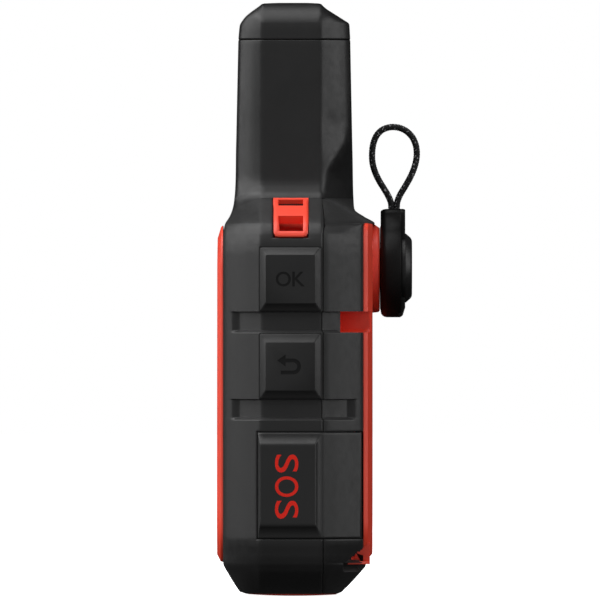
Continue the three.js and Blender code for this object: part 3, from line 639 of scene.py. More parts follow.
WRAP = moulded("battery_wrap", (0.04, 0.11, 0.27), 0.28, grain=1500, bump=0.1, coat=0.3)
FOAM = moulded("foam", (0.035, 0.035, 0.037), 0.9, grain=2600, bump=0.8)
FORMER = moulded("antenna_former", (0.74, 0.72, 0.66), 0.6, bump=0.12)
COPPER = moulded("copper", (0.80, 0.38, 0.20), 0.28, grain=6000, bump=0.05, metallic=1.0)
JACKET = moulded("coax_jacket", (0.02, 0.02, 0.02), 0.35)
BRAID = cord_material()

INTERNALS = {
    "housing_seal": SEAL,
    "window_mask": MASK,
    "display_panel": SCREEN,
    "display_carrier": BLACK,
    "main_board": BOARD,
    "modem_module": SHIELD,
    "processor_shield": SHIELD,
    "gnss_module": SHIELD,
    "power_inductor": FERRITE,
    "buzzer": BLACK,
    "usb_socket": SHIELD,
    "battery_pack": WRAP,
    "battery_pad": FOAM,
    "right_switch_board": BOARD,
    "left_switch_board": BOARD,
    "antenna_core": FORMER,
    "antenna_board": BOARD,
    "antenna_coax": JACKET,
    "bayonet_stem": PUCK_BLACK,
    "cord_crimp": STEEL,
}
INTERNALS.update({f"{key}_switch": SHIELD for key in ("ok", "back", "sos", "up", "down", "power")})
INTERNALS.update({f"helix_wire_{n}": COPPER for n in (1, 2, 3, 4)})
for node, material in INTERNALS.items():
    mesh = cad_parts[node].data
    mesh.materials.clear()
    mesh.materials.append(material)


# ------------------------------------------------------------------ camera and cord
MIDDLE = Vector((0, 0.9, 49.35)) * MM  # what the camera looks at
PICTURE_HEIGHT = 100.45  # millimetres in the picture, at the object
LENS, SENSOR = 1200.0, 36.0
camera = bpy.data.objects.new("camera", bpy.data.cameras.new("camera"))
camera.data.lens = LENS
camera.data.sensor_width = SENSOR
camera.location = MIDDLE + Vector((PICTURE_HEIGHT * MM * LENS / SENSOR, 0, 0))
camera.rotation_euler = (math.pi / 2, 0, math.pi / 2)
camera.data.clip_start = 0.01
bpy.context.scene.collection.objects.link(camera)
bpy.context.scene.camera = camera

CORD_RADIUS = 0.55
CORD_POINTS = (
    (16.2, 62.3), (16.2, 64.8), (16.08, 65.8), (15.55, 67.0), (14.8, 68.25), (14.05, 69.5), (13.42, 70.9),
    (13.05, 72.3), (12.97, 73.8), (13.15, 75.4), (13.68, 76.8), (14.55, 77.75), (15.6, 78.2), (16.65, 78.3),
    (17.75, 78.1), (18.8, 77.55), (19.74, 76.55), (20.3, 75.2), (20.45, 73.8), (20.28, 72.4), (19.85, 71.0),
    (19.2, 69.6), (18.4, 68.2), (17.65, 66.95), (17.2, 65.8), (17.1, 64.8), (17.1, 62.3),
)


def smooth_route(points, step=0.075):
    """Points at even steps along a smooth curve through the given ones."""
    p = np.array(points, float)
    p = np.vstack([2 * p[0] - p[1], p, 2 * p[-1] - p[-2]])
    dense = []
    for i in range(1, len(p) - 2):
        for t in np.linspace(0, 1, 24, endpoint=False):
            a, b, c, d = p[i - 1 : i + 3]
            dense.append(0.5 * (2 * b + (c - a) * t + (2 * a - 5 * b + 4 * c - d) * t**2
                                + (3 * b - a - 3 * c + d) * t**3))
    dense.append(p[-2])
    dense = np.array(dense)
    run = np.concatenate([[0], np.cumsum(np.linalg.norm(np.diff(dense, axis=0), axis=1))])
    even = np.linspace(0, run[-1], int(run[-1] / step) + 1)
    return np.column_stack([np.interp(even, run, dense[:, k]) for k in range(2)]), run[-1]


def tether_cord():
    """A braided cord: two sets of strands wind round it in opposite ways, over and under each other."""
    route, length = smooth_route(CORD_POINTS)
    along = np.arange(len(route)) / (len(route) - 1) * length
    tangent = unit(np.gradient(route, axis=0))
    sides = 32
    around = np.linspace(0, 2 * math.pi, sides, endpoint=False)
    strands, pitch = 4, 3.4
    turn = 2 * math.pi * along[:, None] / pitch
    one = np.cos(strands * around[None] + strands * turn)
    other = np.cos(strands * around[None] - strands * turn)
    relief = np.maximum(np.abs(one) ** 1.5, np.abs(other) ** 1.5)
    radius = CORD_RADIUS - 0.11 + 0.11 * relief
    normal = np.column_stack([-tangent[:, 1], tangent[:, 0]])
    vertices = np.empty((len(route), sides, 3))
    vertices[..., 0] = radius * np.cos(around)
    vertices[..., 1] = route[:, 0, None] + radius * np.sin(around) * normal[:, 0, None]
    vertices[..., 2] = route[:, 1, None] + radius * np.sin(around) * normal[:, 1, None]
    piece = rings("tether_loop", vertices, BRAID, angle=70, body="tether", node="tether_cord")


tether_cord()


# ------------------------------------------------------------------ case
case_form = Form(CASE, ridge=CASE_RIDGE)
BASE_ROWS = [(CASE[0][0], s) for s in (0.0, 0.35, 0.62, 0.8, 0.9, 0.96)]
KEYS = {"ok_key": 1, "back_key": 1, "up_key": -1, "down_key": -1, "power_key": -1}
COVERS = {"sos_cover": 1, "usb_cover": -1}
DISPLAY_OPENING = (16.4, 9.7, 58.5)  # half width, bottom and top of the hole under the surround
SLOT_EDGE = 15.3  # a slot is cut in the bumper farther out than this
ANCHOR_LOW, ANCHOR_HIGH = place("lanyard_anchor")
ANCHOR_Y = (ANCHOR_LOW[1] + 0.2, ANCHOR_HIGH[1] + 0.04)  # front and rear edges of the bracket that shows


def key_foot(z):
    """The lower edge of a key: it runs down to the groove when one is just below."""
    for _, groove_high in GROOVES:
        if 0 < z - groove_high < 0.5:
            return groove_high + CLEARANCE
    return z


def slots():
    """What the keys, covers and lanyard anchor take out of the bumpers: side, low y and z, high y and z."""
    made = []
    for node, side in {**KEYS, **COVERS, "lanyard_anchor": 1}.items():
        low, high = place(node)
        if node == "lanyard_anchor":
            low[1], high[1] = ANCHOR_Y[0] - 0.02, ANCHOR_Y[1] - 0.06
        rear = TO_REAR if node in COVERS else high[1] + CLEARANCE
        top = TO_TOP if node == "lanyard_anchor" else high[2] + CLEARANCE
        foot = key_foot(low[2]) if node in KEYS else low[2]
        made.append((side, low[1] - CLEARANCE, foot - CLEARANCE, rear, top))
    return made


SLOTS = slots()


def in_slots(points):
    """True where a key, cover or the anchor cuts the bumper."""
    x, y, z = np.moveaxis(points, -1, 0)
    cut = np.zeros(x.shape, bool)
    for side, y0, z0, y1, z1 in SLOTS:
        edge = COVER_EDGE if y1 == TO_REAR else SLOT_EDGE
        cut |= (side * x > edge) & (y > y0) & (y < y1) & (z > z0) & (z < z1)
    return cut


def slot_rounding(points):
    """Rounds the bumpers' edges where they meet a slot or the seam."""
    x, y, z = np.moveaxis(points, -1, 0)
    sunk = np.zeros(x.shape)
    for side, y0, z0, y1, z1 in SLOTS:
        away = np.hypot(np.maximum(0, np.maximum(y0 - y, y - y1)), np.maximum(0, np.maximum(z0 - z, z - z1)))
        sunk = np.maximum(sunk, np.where(side * x > 15, 0.06 * np.clip(1 - away / 0.2, 0, 1) ** 2, 0))
    from_seam = np.minimum(np.abs(y - SEAM), np.abs(y - SEAM - SEAM_GAP))
    return np.maximum(sunk, 0.13 * np.clip(1 - from_seam / 0.22, 0, 1) ** 2)


def groove_depth(points):
    """The strap grooves: a sharp upper edge, a chamfer below, and sloping ends."""
    x, y, z = np.moveaxis(points, -1, 0)
    sunk = np.zeros(x.shape)
    for (low, high), rear in zip(GROOVES, (TO_REAR, GROOVE_BACK)):
        across = band(z, low - 0.08, high, 0.5, 0.16)
        sunk = np.maximum(sunk, across * band(y, GROOVE_FRONT, rear, 0.95, 1.05))
    return np.where(np.abs(x) > 15, GROOVE_DEPTH * sunk, 0)


def pocket_depth(points):
    """The dark pocket below each strap notch."""
    x, y, z = np.moveaxis(points, -1, 0)
    pocket = band(z, POCKET[1], NOTCH[0][1], 0.2, 0.06) * smoothstep(POCKET[0] - 0.2, POCKET[0] + 0.3, y)
    return np.where(np.abs(x) > 14, pocket, 0)


def bumper_depth(points):
    return np.maximum.reduce([slot_rounding(points), groove_depth(points), pocket_depth(points)])


def front_openings(points):
    x, y, z = np.moveaxis(points, -1, 0)
    half, low, high = DISPLAY_OPENING
    return in_slots(points) | ((np.abs(x) < half) & (y < -11) & (z > low) & (z < high))


def in_red_slot(points):
    """True where the upper groove goes through to the red shell."""
    x, y, z = np.moveaxis(points, -1, 0)
    return (np.abs(x) > RED_FLOOR) & (y > GROOVE_RED) & (z > GROOVES[0][0]) & (z < GROOVES[0][1])


def in_notch(points):
    """True where a strap notch goes through to the red shell."""
    x, y, z = np.moveaxis(points, -1, 0)
    (front, foot), (rear, top) = NOTCH
    under = z < foot + (y - front) * (top - foot) / (rear - front)
    return (np.abs(x) > NOTCH_FLOOR[0]) & (y > front) & (z > foot) & under


def rear_openings(points):
    x, y, z = np.moveaxis(points, -1, 0)
    foot = 6.3 + np.maximum(0, 0.75 * (np.abs(x) - 12.5))  # it rises towards the corners
    slab = (np.abs(x) < SLAB_HALF) & (y > 10.5) & (z > foot) & (z < SLAB_TOP)
    return in_slots(points) | slab | in_red_slot(points) | in_notch(points)


def cut(piece, *tools):
    """Takes the tools' shapes out of a piece."""
    for tool in tools:
        difference = piece.modifiers.new("cut", "BOOLEAN")
        difference.operation = "DIFFERENCE"
        difference.solver = "EXACT"
        difference.material_mode = "TRANSFER"
        difference.object = tool
        bake_modifiers(piece)
        bpy.data.objects.remove(tool)


def tool(make, *args, **more):
    """A scratch solid for cut(): made like a piece, then set free of the frame."""
    made = make(*args, **more)
    world = made.matrix_world.copy()
    made.parent = None
    made.matrix_world = world
    return made


def notch_wedge(side, out, grow=0.0):
    """The outline of a strap notch, some way out from its red floor."""
    (front, foot), (rear, top) = NOTCH
    low, high = NOTCH_FLOOR
    corners = [(low, front - grow, foot), (low, rear - 0.05, foot), (high, rear - 0.05, top + grow)]
    return np.array([(side * (x + out), y, z) for x, y, z in corners])


def case_rows():
    """Rows of the bumpers, with extra ones where a slot, groove or opening starts and ends."""
    marks = [z for slot in SLOTS for z in (slot[2], slot[4]) if z < NECK_Z]
    for low, high in GROOVES:
        marks += [low, low + 0.3, high - 0.08]
    marks += [POCKET[1], POCKET[1] + 0.2, *NOTCH_STEPS, SLAB_TOP, *SHOULDER_ROWS, *DISPLAY_OPENING[1:]]
    low = lines(CASE[0][0], 7.0, 0.35, marks)
    middle = lines(7.0, 57.0, 0.8, marks)
    high = lines(57.0, NECK_Z, 0.35, marks)
    return BASE_ROWS + full_rows(low + middle[1:] + high[1:])


SIDE_MARKS = sorted({v for slot in SLOTS for v in (slot[1], slot[3]) if v < TO_REAR})


def bumpers():
    rows = case_rows()
    marks = SIDE_MARKS + [GROOVE_FRONT + 0.3, GROOVE_FRONT + 0.7, FLAT_FRONT, FLAT_BACK]
    sides = lines(FRONT, SEAM, 0.55, marks)
    fronts = list(np.linspace(0, 16.4, 10)) + [17.3, 18.0, 18.5]
    right = case_form.columns_at(fronts, sides, [])
    skin("front_bumper_skin", case_form, rows, left_of(right[1:]) + right, RUBBER, BUMPER, depth=bumper_depth,
         opening=front_openings, top=dipping_neck, closed_start=True, node="front_bumper")
    marks = SIDE_MARKS + [GROOVE_RED, GROOVE_BACK - 0.8, GROOVE_BACK - 0.4, POCKET[0] - 0.2, POCKET[0] + 0.3]
    sides = lines(SEAM + SEAM_GAP, BACK, 0.5, marks + [9.1, 9.45, 9.8])
    backs = [20.1, 19.75, COVER_EDGE, 18.8, SLAB_HALF] + list(np.linspace(16.5, 0, 9))
    right = case_form.columns_at([], sides, backs)
    skin("rear_bumper_skin", case_form, rows, right + left_of(right[:-1]), RUBBER, BUMPER, depth=bumper_depth,
         opening=rear_openings, top=dipping_neck, closed_start=True, node="rear_bumper")


STEM_HOLE = 3  # half the width and height of the hole round a key's stem


def web_openings(points):
    return stem_holes(points) | in_red_slot(points) | in_notch(points)


def hole_heights():
    """Heights where the holes for the stems, the button and the socket start and end."""
    marks = []
    for node in ("ok_key", "back_key", "power_key"):
        low, high = place(node)
        marks += [(low[2] + high[2]) / 2 - STEM_HOLE, (low[2] + high[2]) / 2 + STEM_HOLE]
    for node in ("sos_button", "usb_socket"):
        low, high = place(node)
        marks += [low[2] - 0.15, high[2] + 0.15]
    return marks


def hole_depths():
    """Distances along Y where the same holes start and end."""
    low, high = place("sos_button")
    socket_low, socket_high = place("usb_socket")
    return [low[1] - 0.15, high[1] + 0.15, socket_low[1] - 0.3, socket_high[1] + 0.3, -3.75, 2.25]


def webs():
    """The bumpers' thin webs, which run on under the keys, the covers and the seam."""
    rows = full_rows(lines(3.6, 64.5, 0.9, hole_heights() + [*GROOVES[0], *NOTCH_STEPS], near=()))
    sides = lines(-8.5, 11.2, 0.7, hole_depths() + [GROOVE_RED], near=())
    for side in (1, -1):
        columns = case_form.columns_at([], sides, [], side)
        skin(f"web_{'right' if side > 0 else 'left'}", case_form, rows, columns, RUBBER, 0.1,
             start=BUMPER + 0.02, opening=web_openings, top=dipping_neck, node="rear_bumper")


def stem_holes(points):
    """Holes in the hard shell for the key stems, the SOS button, the socket and the lanyard anchor."""
    x, y, z = np.moveaxis(points, -1, 0)
    cut = np.zeros(x.shape, bool)
    for node, side in KEYS.items():
        low, high = place(node)
        middle = (low + high) / 2
        cut |= (side * x > 20) & (np.abs(y - middle[1]) < STEM_HOLE) & (np.abs(z - middle[2]) < STEM_HOLE)
    low, high = place("sos_button")
    cut |= (x > 20) & (y > low[1] - 0.15) & (y < high[1] + 0.15) & (z > low[2] - 0.15) & (z < high[2] + 0.15)
    low, high = place("usb_socket")
    cut |= (x < -20) & (y > low[1] - 0.3) & (y < high[1] + 0.3) & (z > low[2] - 0.2) & (z < high[2] + 0.2)
    low, high = ANCHOR_LOW, ANCHOR_HIGH
    return cut | ((x > 14) & (y > low[1] - 0.2) & (y < high[1] + 0.2) & (z > low[2] - 0.4))


def tray_openings_front(points):
    x, y, z = np.moveaxis(points, -1, 0)
    return stem_holes(points) | ((np.abs(x) < 16.2) & (y < -9.5) & (z > 10.5) & (z < 57.8))


def tray_openings_back(points):
    x, y, z = np.moveaxis(points, -1, 0)
    return ((np.abs(x) < 15.6) & (y > 9) & (z > 13.4) & (z < 56.6)) | in_red_slot(points) | in_notch(points)


def trays():
    """The hard red shells under the bumpers."""
    marks = hole_heights() + [10.5, 57.8, 13.4, 56.6, 59.4]
    rows = BASE_ROWS + full_rows(lines(CASE[0][0], NECK_Z - 1.2, 0.9, marks, near=()))
    sides = lines(FRONT, SEAM + 0.2, 0.8, hole_depths(), near=())
    right = case_form.columns_at(list(np.linspace(0, 16.2, 7)) + [17.6], sides, [])
    columns = left_of(right[1:]) + right
    wall = SHELL_IN - SHELL_OUT
    skin("front_tray", case_form, rows, columns, RED, wall, start=SHELL_OUT, opening=tray_openings_front,
         top=dipping_neck, closed_start=True, node="front_shell")
    marks += [*GROOVES[0], *NOTCH_STEPS]
    rows = BASE_ROWS + full_rows(lines(CASE[0][0], SHOULDER_Z - 1.2, 0.9, marks, near=()))
    marks = [GROOVE_RED, GROOVE_RED + 0.15, GROOVE_RED + 0.3, 8.3, 8.8]
    sides = lines(SEAM + 0.22, BACK, 0.6, marks, near=())
    right = case_form.columns_at([], sides, [19.6, 18.6, 17.4] + list(np.linspace(15.6, 0, 6)))
    columns = right + left_of(right[:-1])
    skin("back_tray", case_form, rows, columns, RED, wall, start=SHELL_OUT, opening=tray_openings_back,
         top=dipping_neck, closed_start=True, node="back_shell")


SURROUND_FOOT = mirrored([(13.2, 5.6), (17.4, 8.8), (18.2, 12.0), (18.2, 56.2), (17.3, 59.8), (13.8, 61.8)])
SURROUND_FACE = mirrored([(12.4, 6.9), (16.2, 10.2), (17.0, 13.4), (17.0, 54.8), (16.2, 57.9), (12.8, 59.7)])
SURROUND_BODY = mirrored([(14.2, 9.9), (15.6, 11.0), (16.2, 12.6), (16.2, 55.6), (15.6, 57.2), (14.2, 58.2)])
WINDOW = mirrored([(12.4, 12.4), (13.9, 12.9), (14.6, 14.6), (14.6, 53.2), (13.9, 54.9), (12.4, 55.4)])
VIEW = mirrored([(11.4, 28.3), (12.6, 28.5), (12.8, 28.8), (12.8, 53.4), (12.6, 53.7), (11.4, 53.8)])


def display_surround():
    """The red surround: a ledge for the window inside, and a chamfered face outside."""
    body = rounded(SURROUND_BODY, 1.0)
    foot = rounded(SURROUND_FOOT, 1.6)
    face = rounded(SURROUND_FACE, 1.6)
    window = rounded(WINDOW, 1.0)
    view = rounded(VIEW, 0.6)
    loops = [
        in_xz(body, -10.35),
        in_xz(body, -11.93),
        in_xz(foot, -11.93),
        in_xz(foot + (face - foot) * 0.12, -12.25),
        in_xz(face + (foot - face) * 0.12, -12.74),
        in_xz(face, -12.84),
        in_xz(window + (face - window) * 0.12, -12.9),
        in_xz(window, -12.8),
        in_xz(window, -11.8),
        in_xz(view, -11.8),
        in_xz(view, -10.35),
    ]
    for loop in loops[3:6]:
        low = smoothstep(24, 14, loop[:, 2])
        loop[:, 1] -= 0.1 * low
    rings("display_surround", loops, RED, closed=True, bevel=0.06, angle=30, node="front_shell")
    layers = ((0.1, -12.0), (0.1, -12.6), (0.25, -12.72))
    glass = [in_xz(rounded(shrunk(WINDOW, by), 1.0), y) for by, y in layers]
    rings("display_glass", glass, GLASS, angle=30, node="display_window")


SLAB_FOOT = mirrored([(13.8, 5.45), (17.4, 7.2), (19.6, 10.6), (19.6, 57.0), (19.1, 60.2), (18.0, 62.15)])
SLAB_EDGE = mirrored([(13.3, 5.6), (17.0, 7.5), (19.25, 10.8), (19.25, 56.9), (18.8, 60.1), (17.7, 62.13)])
SLAB_SLOPE = mirrored([(12.2, 6.4), (15.4, 8.4), (17.3, 11.6), (17.3, 56.3), (16.9, 59.5), (15.8, 62.1)])
SLAB_FACE = mirrored([(11.2, 7.0), (13.4, 8.8), (14.9, 12.0), (14.9, 55.8), (14.5, 58.8), (13.4, 62.0)])


def back_plate():
    """The red back plate, with its screw wells, the boss's throat, and the strap grooves' ends cut out."""
    inner = rounded(shrunk(SLAB_FOOT, 1.65), 1.6)
    foot = rounded(SLAB_FOOT, 1.8)
    edge = rounded(SLAB_EDGE, 1.8)
    slope = rounded(SLAB_SLOPE, 1.8)
    face = rounded(SLAB_FACE, 1.8)
    loops = [
        in_xz(inner, 9.4),
        in_xz(inner, BACK + 0.04),
        in_xz(foot, BACK + 0.04),
        in_xz(edge, 12.2),
        in_xz(slope, 12.45),
        in_xz(face, 12.98),
        in_xz(shrunk(face, 0.3), 13.0),
    ]
    plate = rings("back_plate", loops, RED, bevel=0.07, angle=25, node="back_shell")
    wells = []
    for x, z in SCREWS:
        for side in (1, -1):
            profile = [(1.62, 11.6), (1.62, 12.75), (1.85, 13.2)]
            wells.append(tool(turned, "well", profile, (side * x, z), RED, steps=40))
    throat = tool(turned, "throat", [(3.5, 12.1), (3.5, 14)], (0, MOUNT_Z), RED, steps=48)
    groove = rect(9.0, 13.2, *GROOVES[0])
    grooves, notches = [], []
    for side in (1, -1):
        grooves.append(tool(bar, "groove_cut", groove, side * (RED_FLOOR - 0.1), side * 24.0, RED))
        notches.append(tool(rings, "notch_cut", [notch_wedge(side, 0.0), notch_wedge(side, 9.0)], RED))
    cut(plate, *wells, throat, *grooves, *notches)
    smooth(plate, 30)


def strap_floors():
    """The red floors of the upper groove and of the strap notch, and the ledge below the notch."""
    groove_low, groove_high = GROOVES[0]
    for side, name in ((1, "right"), (-1, "left")):
        loops = []
        for y, floor, out in CHANNEL:
            profile = [(14.9, groove_low - 0.5), (out, groove_low - 0.5), (out, groove_low + 0.03),
                       (min(floor + 0.75, out), groove_low + 0.05), (floor, groove_low + 0.55),
                       (floor, groove_high - 0.02), (out, groove_high - 0.02), (out, groove_high + 0.5),
                       (14.9, groove_high + 0.5)]
            loops.append([(side * x, y, z) for x, z in profile])
        rings(f"groove_floor_{name}", loops, RED, angle=30, node="back_shell")
        loops = [notch_wedge(side, -1.2, 0.3), notch_wedge(side, 0.02, 0.3)]
        rings(f"notch_floor_{name}", loops, RED, angle=30, node="back_shell")
        (front, foot), (rear, _) = NOTCH
        ledge = [(16.0, front + 0.5), (19.6, front + 0.5), (18.2, BACK - 0.2), (16.6, rear - 0.05),
                 (16.0, rear - 0.05)]
        loops = [[(side * x, y, z) for x, y in ledge] for z in (foot - 0.25, foot + 0.22)]
        rings(f"notch_ledge_{name}", loops, RED, angle=30, bevel=0.05, node="back_shell")


def bayonet_boss():
    """The round boss that the puck turns on, with a slot for its lugs and a flat towards the neck."""
    profile = soft_profile([(3.5, 12.2), (3.5, 14.2), (7.15, 14.25), (7.4, 14.0), (7.5, 12.6)], 0.2)
    boss = turned("bayonet_boss", profile, (0, MOUNT_Z), RED, closed=True, steps=96, node="back_shell")
    slot = tool(bar, "slot", rect(13.0, 15, MOUNT_Z - 2.3, MOUNT_Z + 2.3), -5.3, 5.3, RED)
    slope = [(12.4, 62.7), (14.7, 61.05), (14.7, 63.5), (12.4, 63.5)]
    cut(boss, slot, tool(bar, "slope", slope, -9, 9, RED))
    smooth(boss, 30)


def screw_heads():
    """The heads of the four case screws, each with a six-lobed drive."""
    head = [(0.55, -1.0), (0.6, -0.8), (0.6, 11.8), (1.3, 11.8), (1.42, 11.92), (1.42, 12.25), (1.25, 12.5),
            (0.9, 12.56)]
    angles = np.linspace(0, 2 * math.pi, 24, endpoint=False)
    lobes = (0.62 + 0.12 * np.cos(6 * angles))[:, None]
    for n, (x, z) in enumerate([(side * x, z) for x, z in SCREWS for side in (1, -1)]):
        screw = turned(f"case_screw_head_{n + 1}", head, (x, z), STEEL, steps=36, node=f"case_screw_{n + 1}")
        star = lobes * circle(24) + (x, z)
        cut(screw, tool(rings, "star", [in_xz(star, y) for y in (12.0, 13.0)], STEEL))
        smooth(screw, 30)


def foot_pad():
    """The flat red foot of the two shells, between the bumpers' lower edges."""
    feet = (("front_foot", "front_shell", -7.7, SEAM + 0.02), ("rear_foot", "back_shell", SEAM - 0.04, 7.0))
    for name, node, y0, y1 in feet:
        across = np.linspace(y0, y1, 9)
        under = 0.3 * (across / 8.0) ** 2
        sole = [*zip(across, under), *zip(across[::-1], np.maximum(under[::-1] + 0.12, 0.335))]
        bar(name, sole, -11.5, 11.5, RED, angle=30, bevel=0.03, node=node)


def lanyard_anchor():
    """The red bracket on the shoulder: a face with two windows, and a channel behind them for the strap."""
    y0, y1 = ANCHOR_Y
    z0, z1 = ANCHOR_LOW[2], NECK_Z
    lower, upper = (60.85, 63.25), (65.2, 66.2)
    wall = 0.86  # width of the legs beside the windows
    corner = 1.15
    marks = [*lower, *upper, z0 + 0.15, z0 + 0.4, z1 - 0.15]
    rows = full_rows(lines(z0, z1, 0.25, marks, near=(0.08, 0.18)))
    sides = lines(y0, y1, 0.3, [y0 + wall, y1 - wall, y0 + 0.15, y1 - 0.15], near=(0.08, 0.18))
    columns = case_form.columns_at([], sides, [])

    def corner_distance(y, z):
        """Distance inside the rounded lower corners."""
        beside = np.maximum(0, np.maximum(y0 + corner - y, y - y1 + corner))
        return corner - np.hypot(beside, np.maximum(0, z0 + corner - z))

    def in_windows(points):
        _, y, z = np.moveaxis(points, -1, 0)
        across = (y > y0 + wall) & (y < y1 - wall)
        windows = across & (((z > lower[0]) & (z < lower[1])) | ((z > upper[0]) & (z < upper[1])))
        return windows | (corner_distance(y, z) < 0)

    def edges(points):
        _, y, z = np.moveaxis(points, -1, 0)
        rim = np.minimum.reduce([y - y0, y1 - y, z - z0, z1 - z, corner_distance(y, z)])
        sunk = 0.25 * np.clip(1 - rim / 0.35, 0, 1) ** 2
        for low, high in (lower, upper):
            away = np.hypot(np.maximum(0, np.maximum(y0 + wall - y, y - y1 + wall)),
                            np.maximum(0, np.maximum(low - z, z - high)))
            sunk = np.maximum(sunk, 0.12 * np.clip(1 - away / 0.2, 0, 1) ** 2)
        return sunk

    def channel(points):
        _, y, z = np.moveaxis(points, -1, 0)
        inside = (y > y0 + wall) & (y < y1 - wall) & (z > lower[0]) & (z < upper[1] + 0.1)
        return np.where(inside, 1.85, 0.0)

    skin("anchor_face", case_form, rows, columns, RED, 1.55, start=-0.35, depth=edges, opening=in_windows,
         node="lanyard_anchor")
    skin("anchor_channel", case_form, rows, columns, RED, 2.9, start=1.25, depth=channel,
         node="lanyard_anchor")


bumpers()
webs()
trays()
display_surround()
back_plate()
strap_floors()
bayonet_boss()
screw_heads()
foot_pad()
lanyard_anchor()


# ------------------------------------------------------------------ antenna
def antenna():
    flat = (-5.45, 4.35)
    neck = tuple(station for station in CASE if 62.1 < station[0] < NECK_Z)
    ridge = {**CASE_RIDGE, **ANTENNA_RIDGE}
    sleeve = Form(neck + ANTENNA, (0.5, 0.45), flat, ridge, level=True)
    fronts = list(np.linspace(0, 8.2, 6)) + [8.9]
    sides = lines(-9.6, 9.5, 0.5, flat, near=(0.15, 0.3, 0.5))
    backs = [8.6] + list(np.linspace(8.0, 0, 6))
    right = sleeve.columns_at(fronts, sides, backs)
    ring = right + left_of(right[1:-1])
    low, high = ANTENNA[0][0], ANTENNA[-1][0]
    rows = full_rows(lines(low, high, 0.9, [low, high, 67.0, 67.6, 68.4, 69.2], near=(0.08, 0.2)))

    def dip(heights, segment, t):
        """Follows the neck's joint down at the front."""
        return heights - (NECK_Z - NECK_FRONT_Z) * neck_dip(segment, t) * (1 - smoothstep(low, 70.0, heights))

    def ends(points):
        return 0.05 * np.clip(1 - (high - points[..., 2]) / 0.2, 0, 1) ** 2

    base = sleeve.surface(rows, ring)
    for c, (segment, t, side) in enumerate(ring):
        z = dip(np.array([z for z, _ in rows]), segment, t)
        xy, _ = sleeve.column(z, segment, t, np.zeros(len(rows)))
        base[:, c] = np.column_stack([side * xy[:, 0], xy[:, 1], z])
    inward = -base
    inward[..., 2] = 0
    inward = unit(inward)
    outer = base + inward * ends(base)[..., None]
    inner = base + inward * 1.5
    keep = np.ones((len(rows) - 1, len(ring)), bool)
    two_skins("antenna_sleeve", outer, inner, keep, BLACK, wrap=True, node="antenna_radome")
    rows = full_rows((64.6, 65.6, NECK_Z, 67.4, 68.2))
    skin("antenna_spigot", sleeve, rows, ring, BLACK, 1.0, start=1.6, wrap=True, node="antenna_radome")

    tip = Form(CAP, (0.4, 0.4), flat, hold=0.96)
    low, high = CAP[0][0], CAP[-1][0]
    rows = full_rows(lines(low, high, 0.3, [low, 95.3, 95.6, 98.5, 98.75, 98.88], near=(0.08, 0.2)))
    rows += [(high, s) for s in (0.8, 0.55, 0.3, 0.0)]

    def foot(points):
        return 0.1 * np.clip(1 - (points[..., 2] - low) / 0.2, 0, 1) ** 2

    skin("antenna_tip", tip, rows, ring, BLACK, 1.5, depth=foot, wrap=True, closed_end=True,
         node="antenna_cap")


antenna()


# ------------------------------------------------------------------ keys, covers and their legends
def letter(character, weight):
    """One flat character as a mesh in the X-Y plane, filling a unit cube about the origin."""
    curve = bpy.data.curves.new("legend", "FONT")
    curve.body = character
    curve.offset = weight
    curve.resolution_u = 8
    curve.extrude = 0.5
    holder = bpy.data.objects.new("legend", curve)
    bpy.context.scene.collection.objects.link(holder)
    graph = bpy.context.evaluated_depsgraph_get()
    mesh = bpy.data.meshes.new_from_object(holder.evaluated_get(graph))
    bpy.data.objects.remove(holder)
    points = np.array([v.co for v in mesh.vertices])
    low, high = points.min(0), points.max(0)
    return (points - (low + high) / 2) / (high - low), [tuple(p.vertices) for p in mesh.polygons]


def legend(words, widths, gap, height, weight):
    """A row of characters of given widths, centred on the origin."""
    shapes = []
    left = -(sum(widths) + gap * (len(words) - 1)) / 2
    for character, width in zip(words, widths):
        points, faces = letter(character, weight)
        shapes.append((points * (width, height, 1.0) + (left + width / 2, 0, 0), faces))
        left += width + gap
    return shapes


def stroke(path, width):
    """A flat band along a path, one unit thick, as a mesh in the X-Y plane."""
    path = np.array(path, float)
    tangent = unit(np.gradient(path, axis=0))
    normal = np.column_stack([-tangent[:, 1], tangent[:, 0]]) * width / 2
    outline = np.vstack([path + normal, (path - normal)[::-1]])
    return prism(outline)


def prism(outline):
    count = len(outline)
    points = np.vstack([np.column_stack([outline, np.full(count, h)]) for h in (-0.5, 0.5)])
    faces = [(i, (i + 1) % count, (i + 1) % count + count, i + count) for i in range(count)]
    faces += [tuple(range(count))[::-1], tuple(range(count, 2 * count))]
    return points, faces


def arc(centre, radius, start, end, steps=20):
    angles = np.radians(np.linspace(start, end, steps))
    return np.column_stack([centre[0] + radius * np.cos(angles), centre[1] + radius * np.sin(angles)])


def on_side(shape, side, centre, x, thickness, turned_over=False):
    """Puts a flat shape on the side of the unit, upright as seen from outside."""
    points, faces = shape
    across, up, out = points.T
    if turned_over:
        across, up = up, -across
    placed = np.column_stack([side * (x + out * thickness), centre[0] + side * across, centre[1] + up])
    return placed, faces


def icons():
    """Each key's legend as a list of flat shapes."""
    bend = np.vstack([[(-0.9, 1.0), (0.2, 1.0)], arc((0.45, 0.0), 1.0, 88, -88), [(0.2, -1.0), (-1.6, -1.0)]])
    ring = arc((0, -0.1), 1.0, 125, 415, 40)
    return {
        "ok_key": legend("OK", (2.5, 2.1), 0.24, 2.45, 0.012),
        "back_key": [stroke(bend, 0.62), prism([(-0.8, 2.0), (-2.2, 1.0), (-0.8, 0.0)])],
        "up_key": [prism([(-1.5, -0.8), (1.5, -0.8), (0, 1.3)])],
        "down_key": [prism([(1.5, 0.8), (-1.5, 0.8), (0, -1.3)])],
        "power_key": [stroke(ring, 0.42), prism(rect(-0.21, 0.21, -0.1, 1.3))],
    }


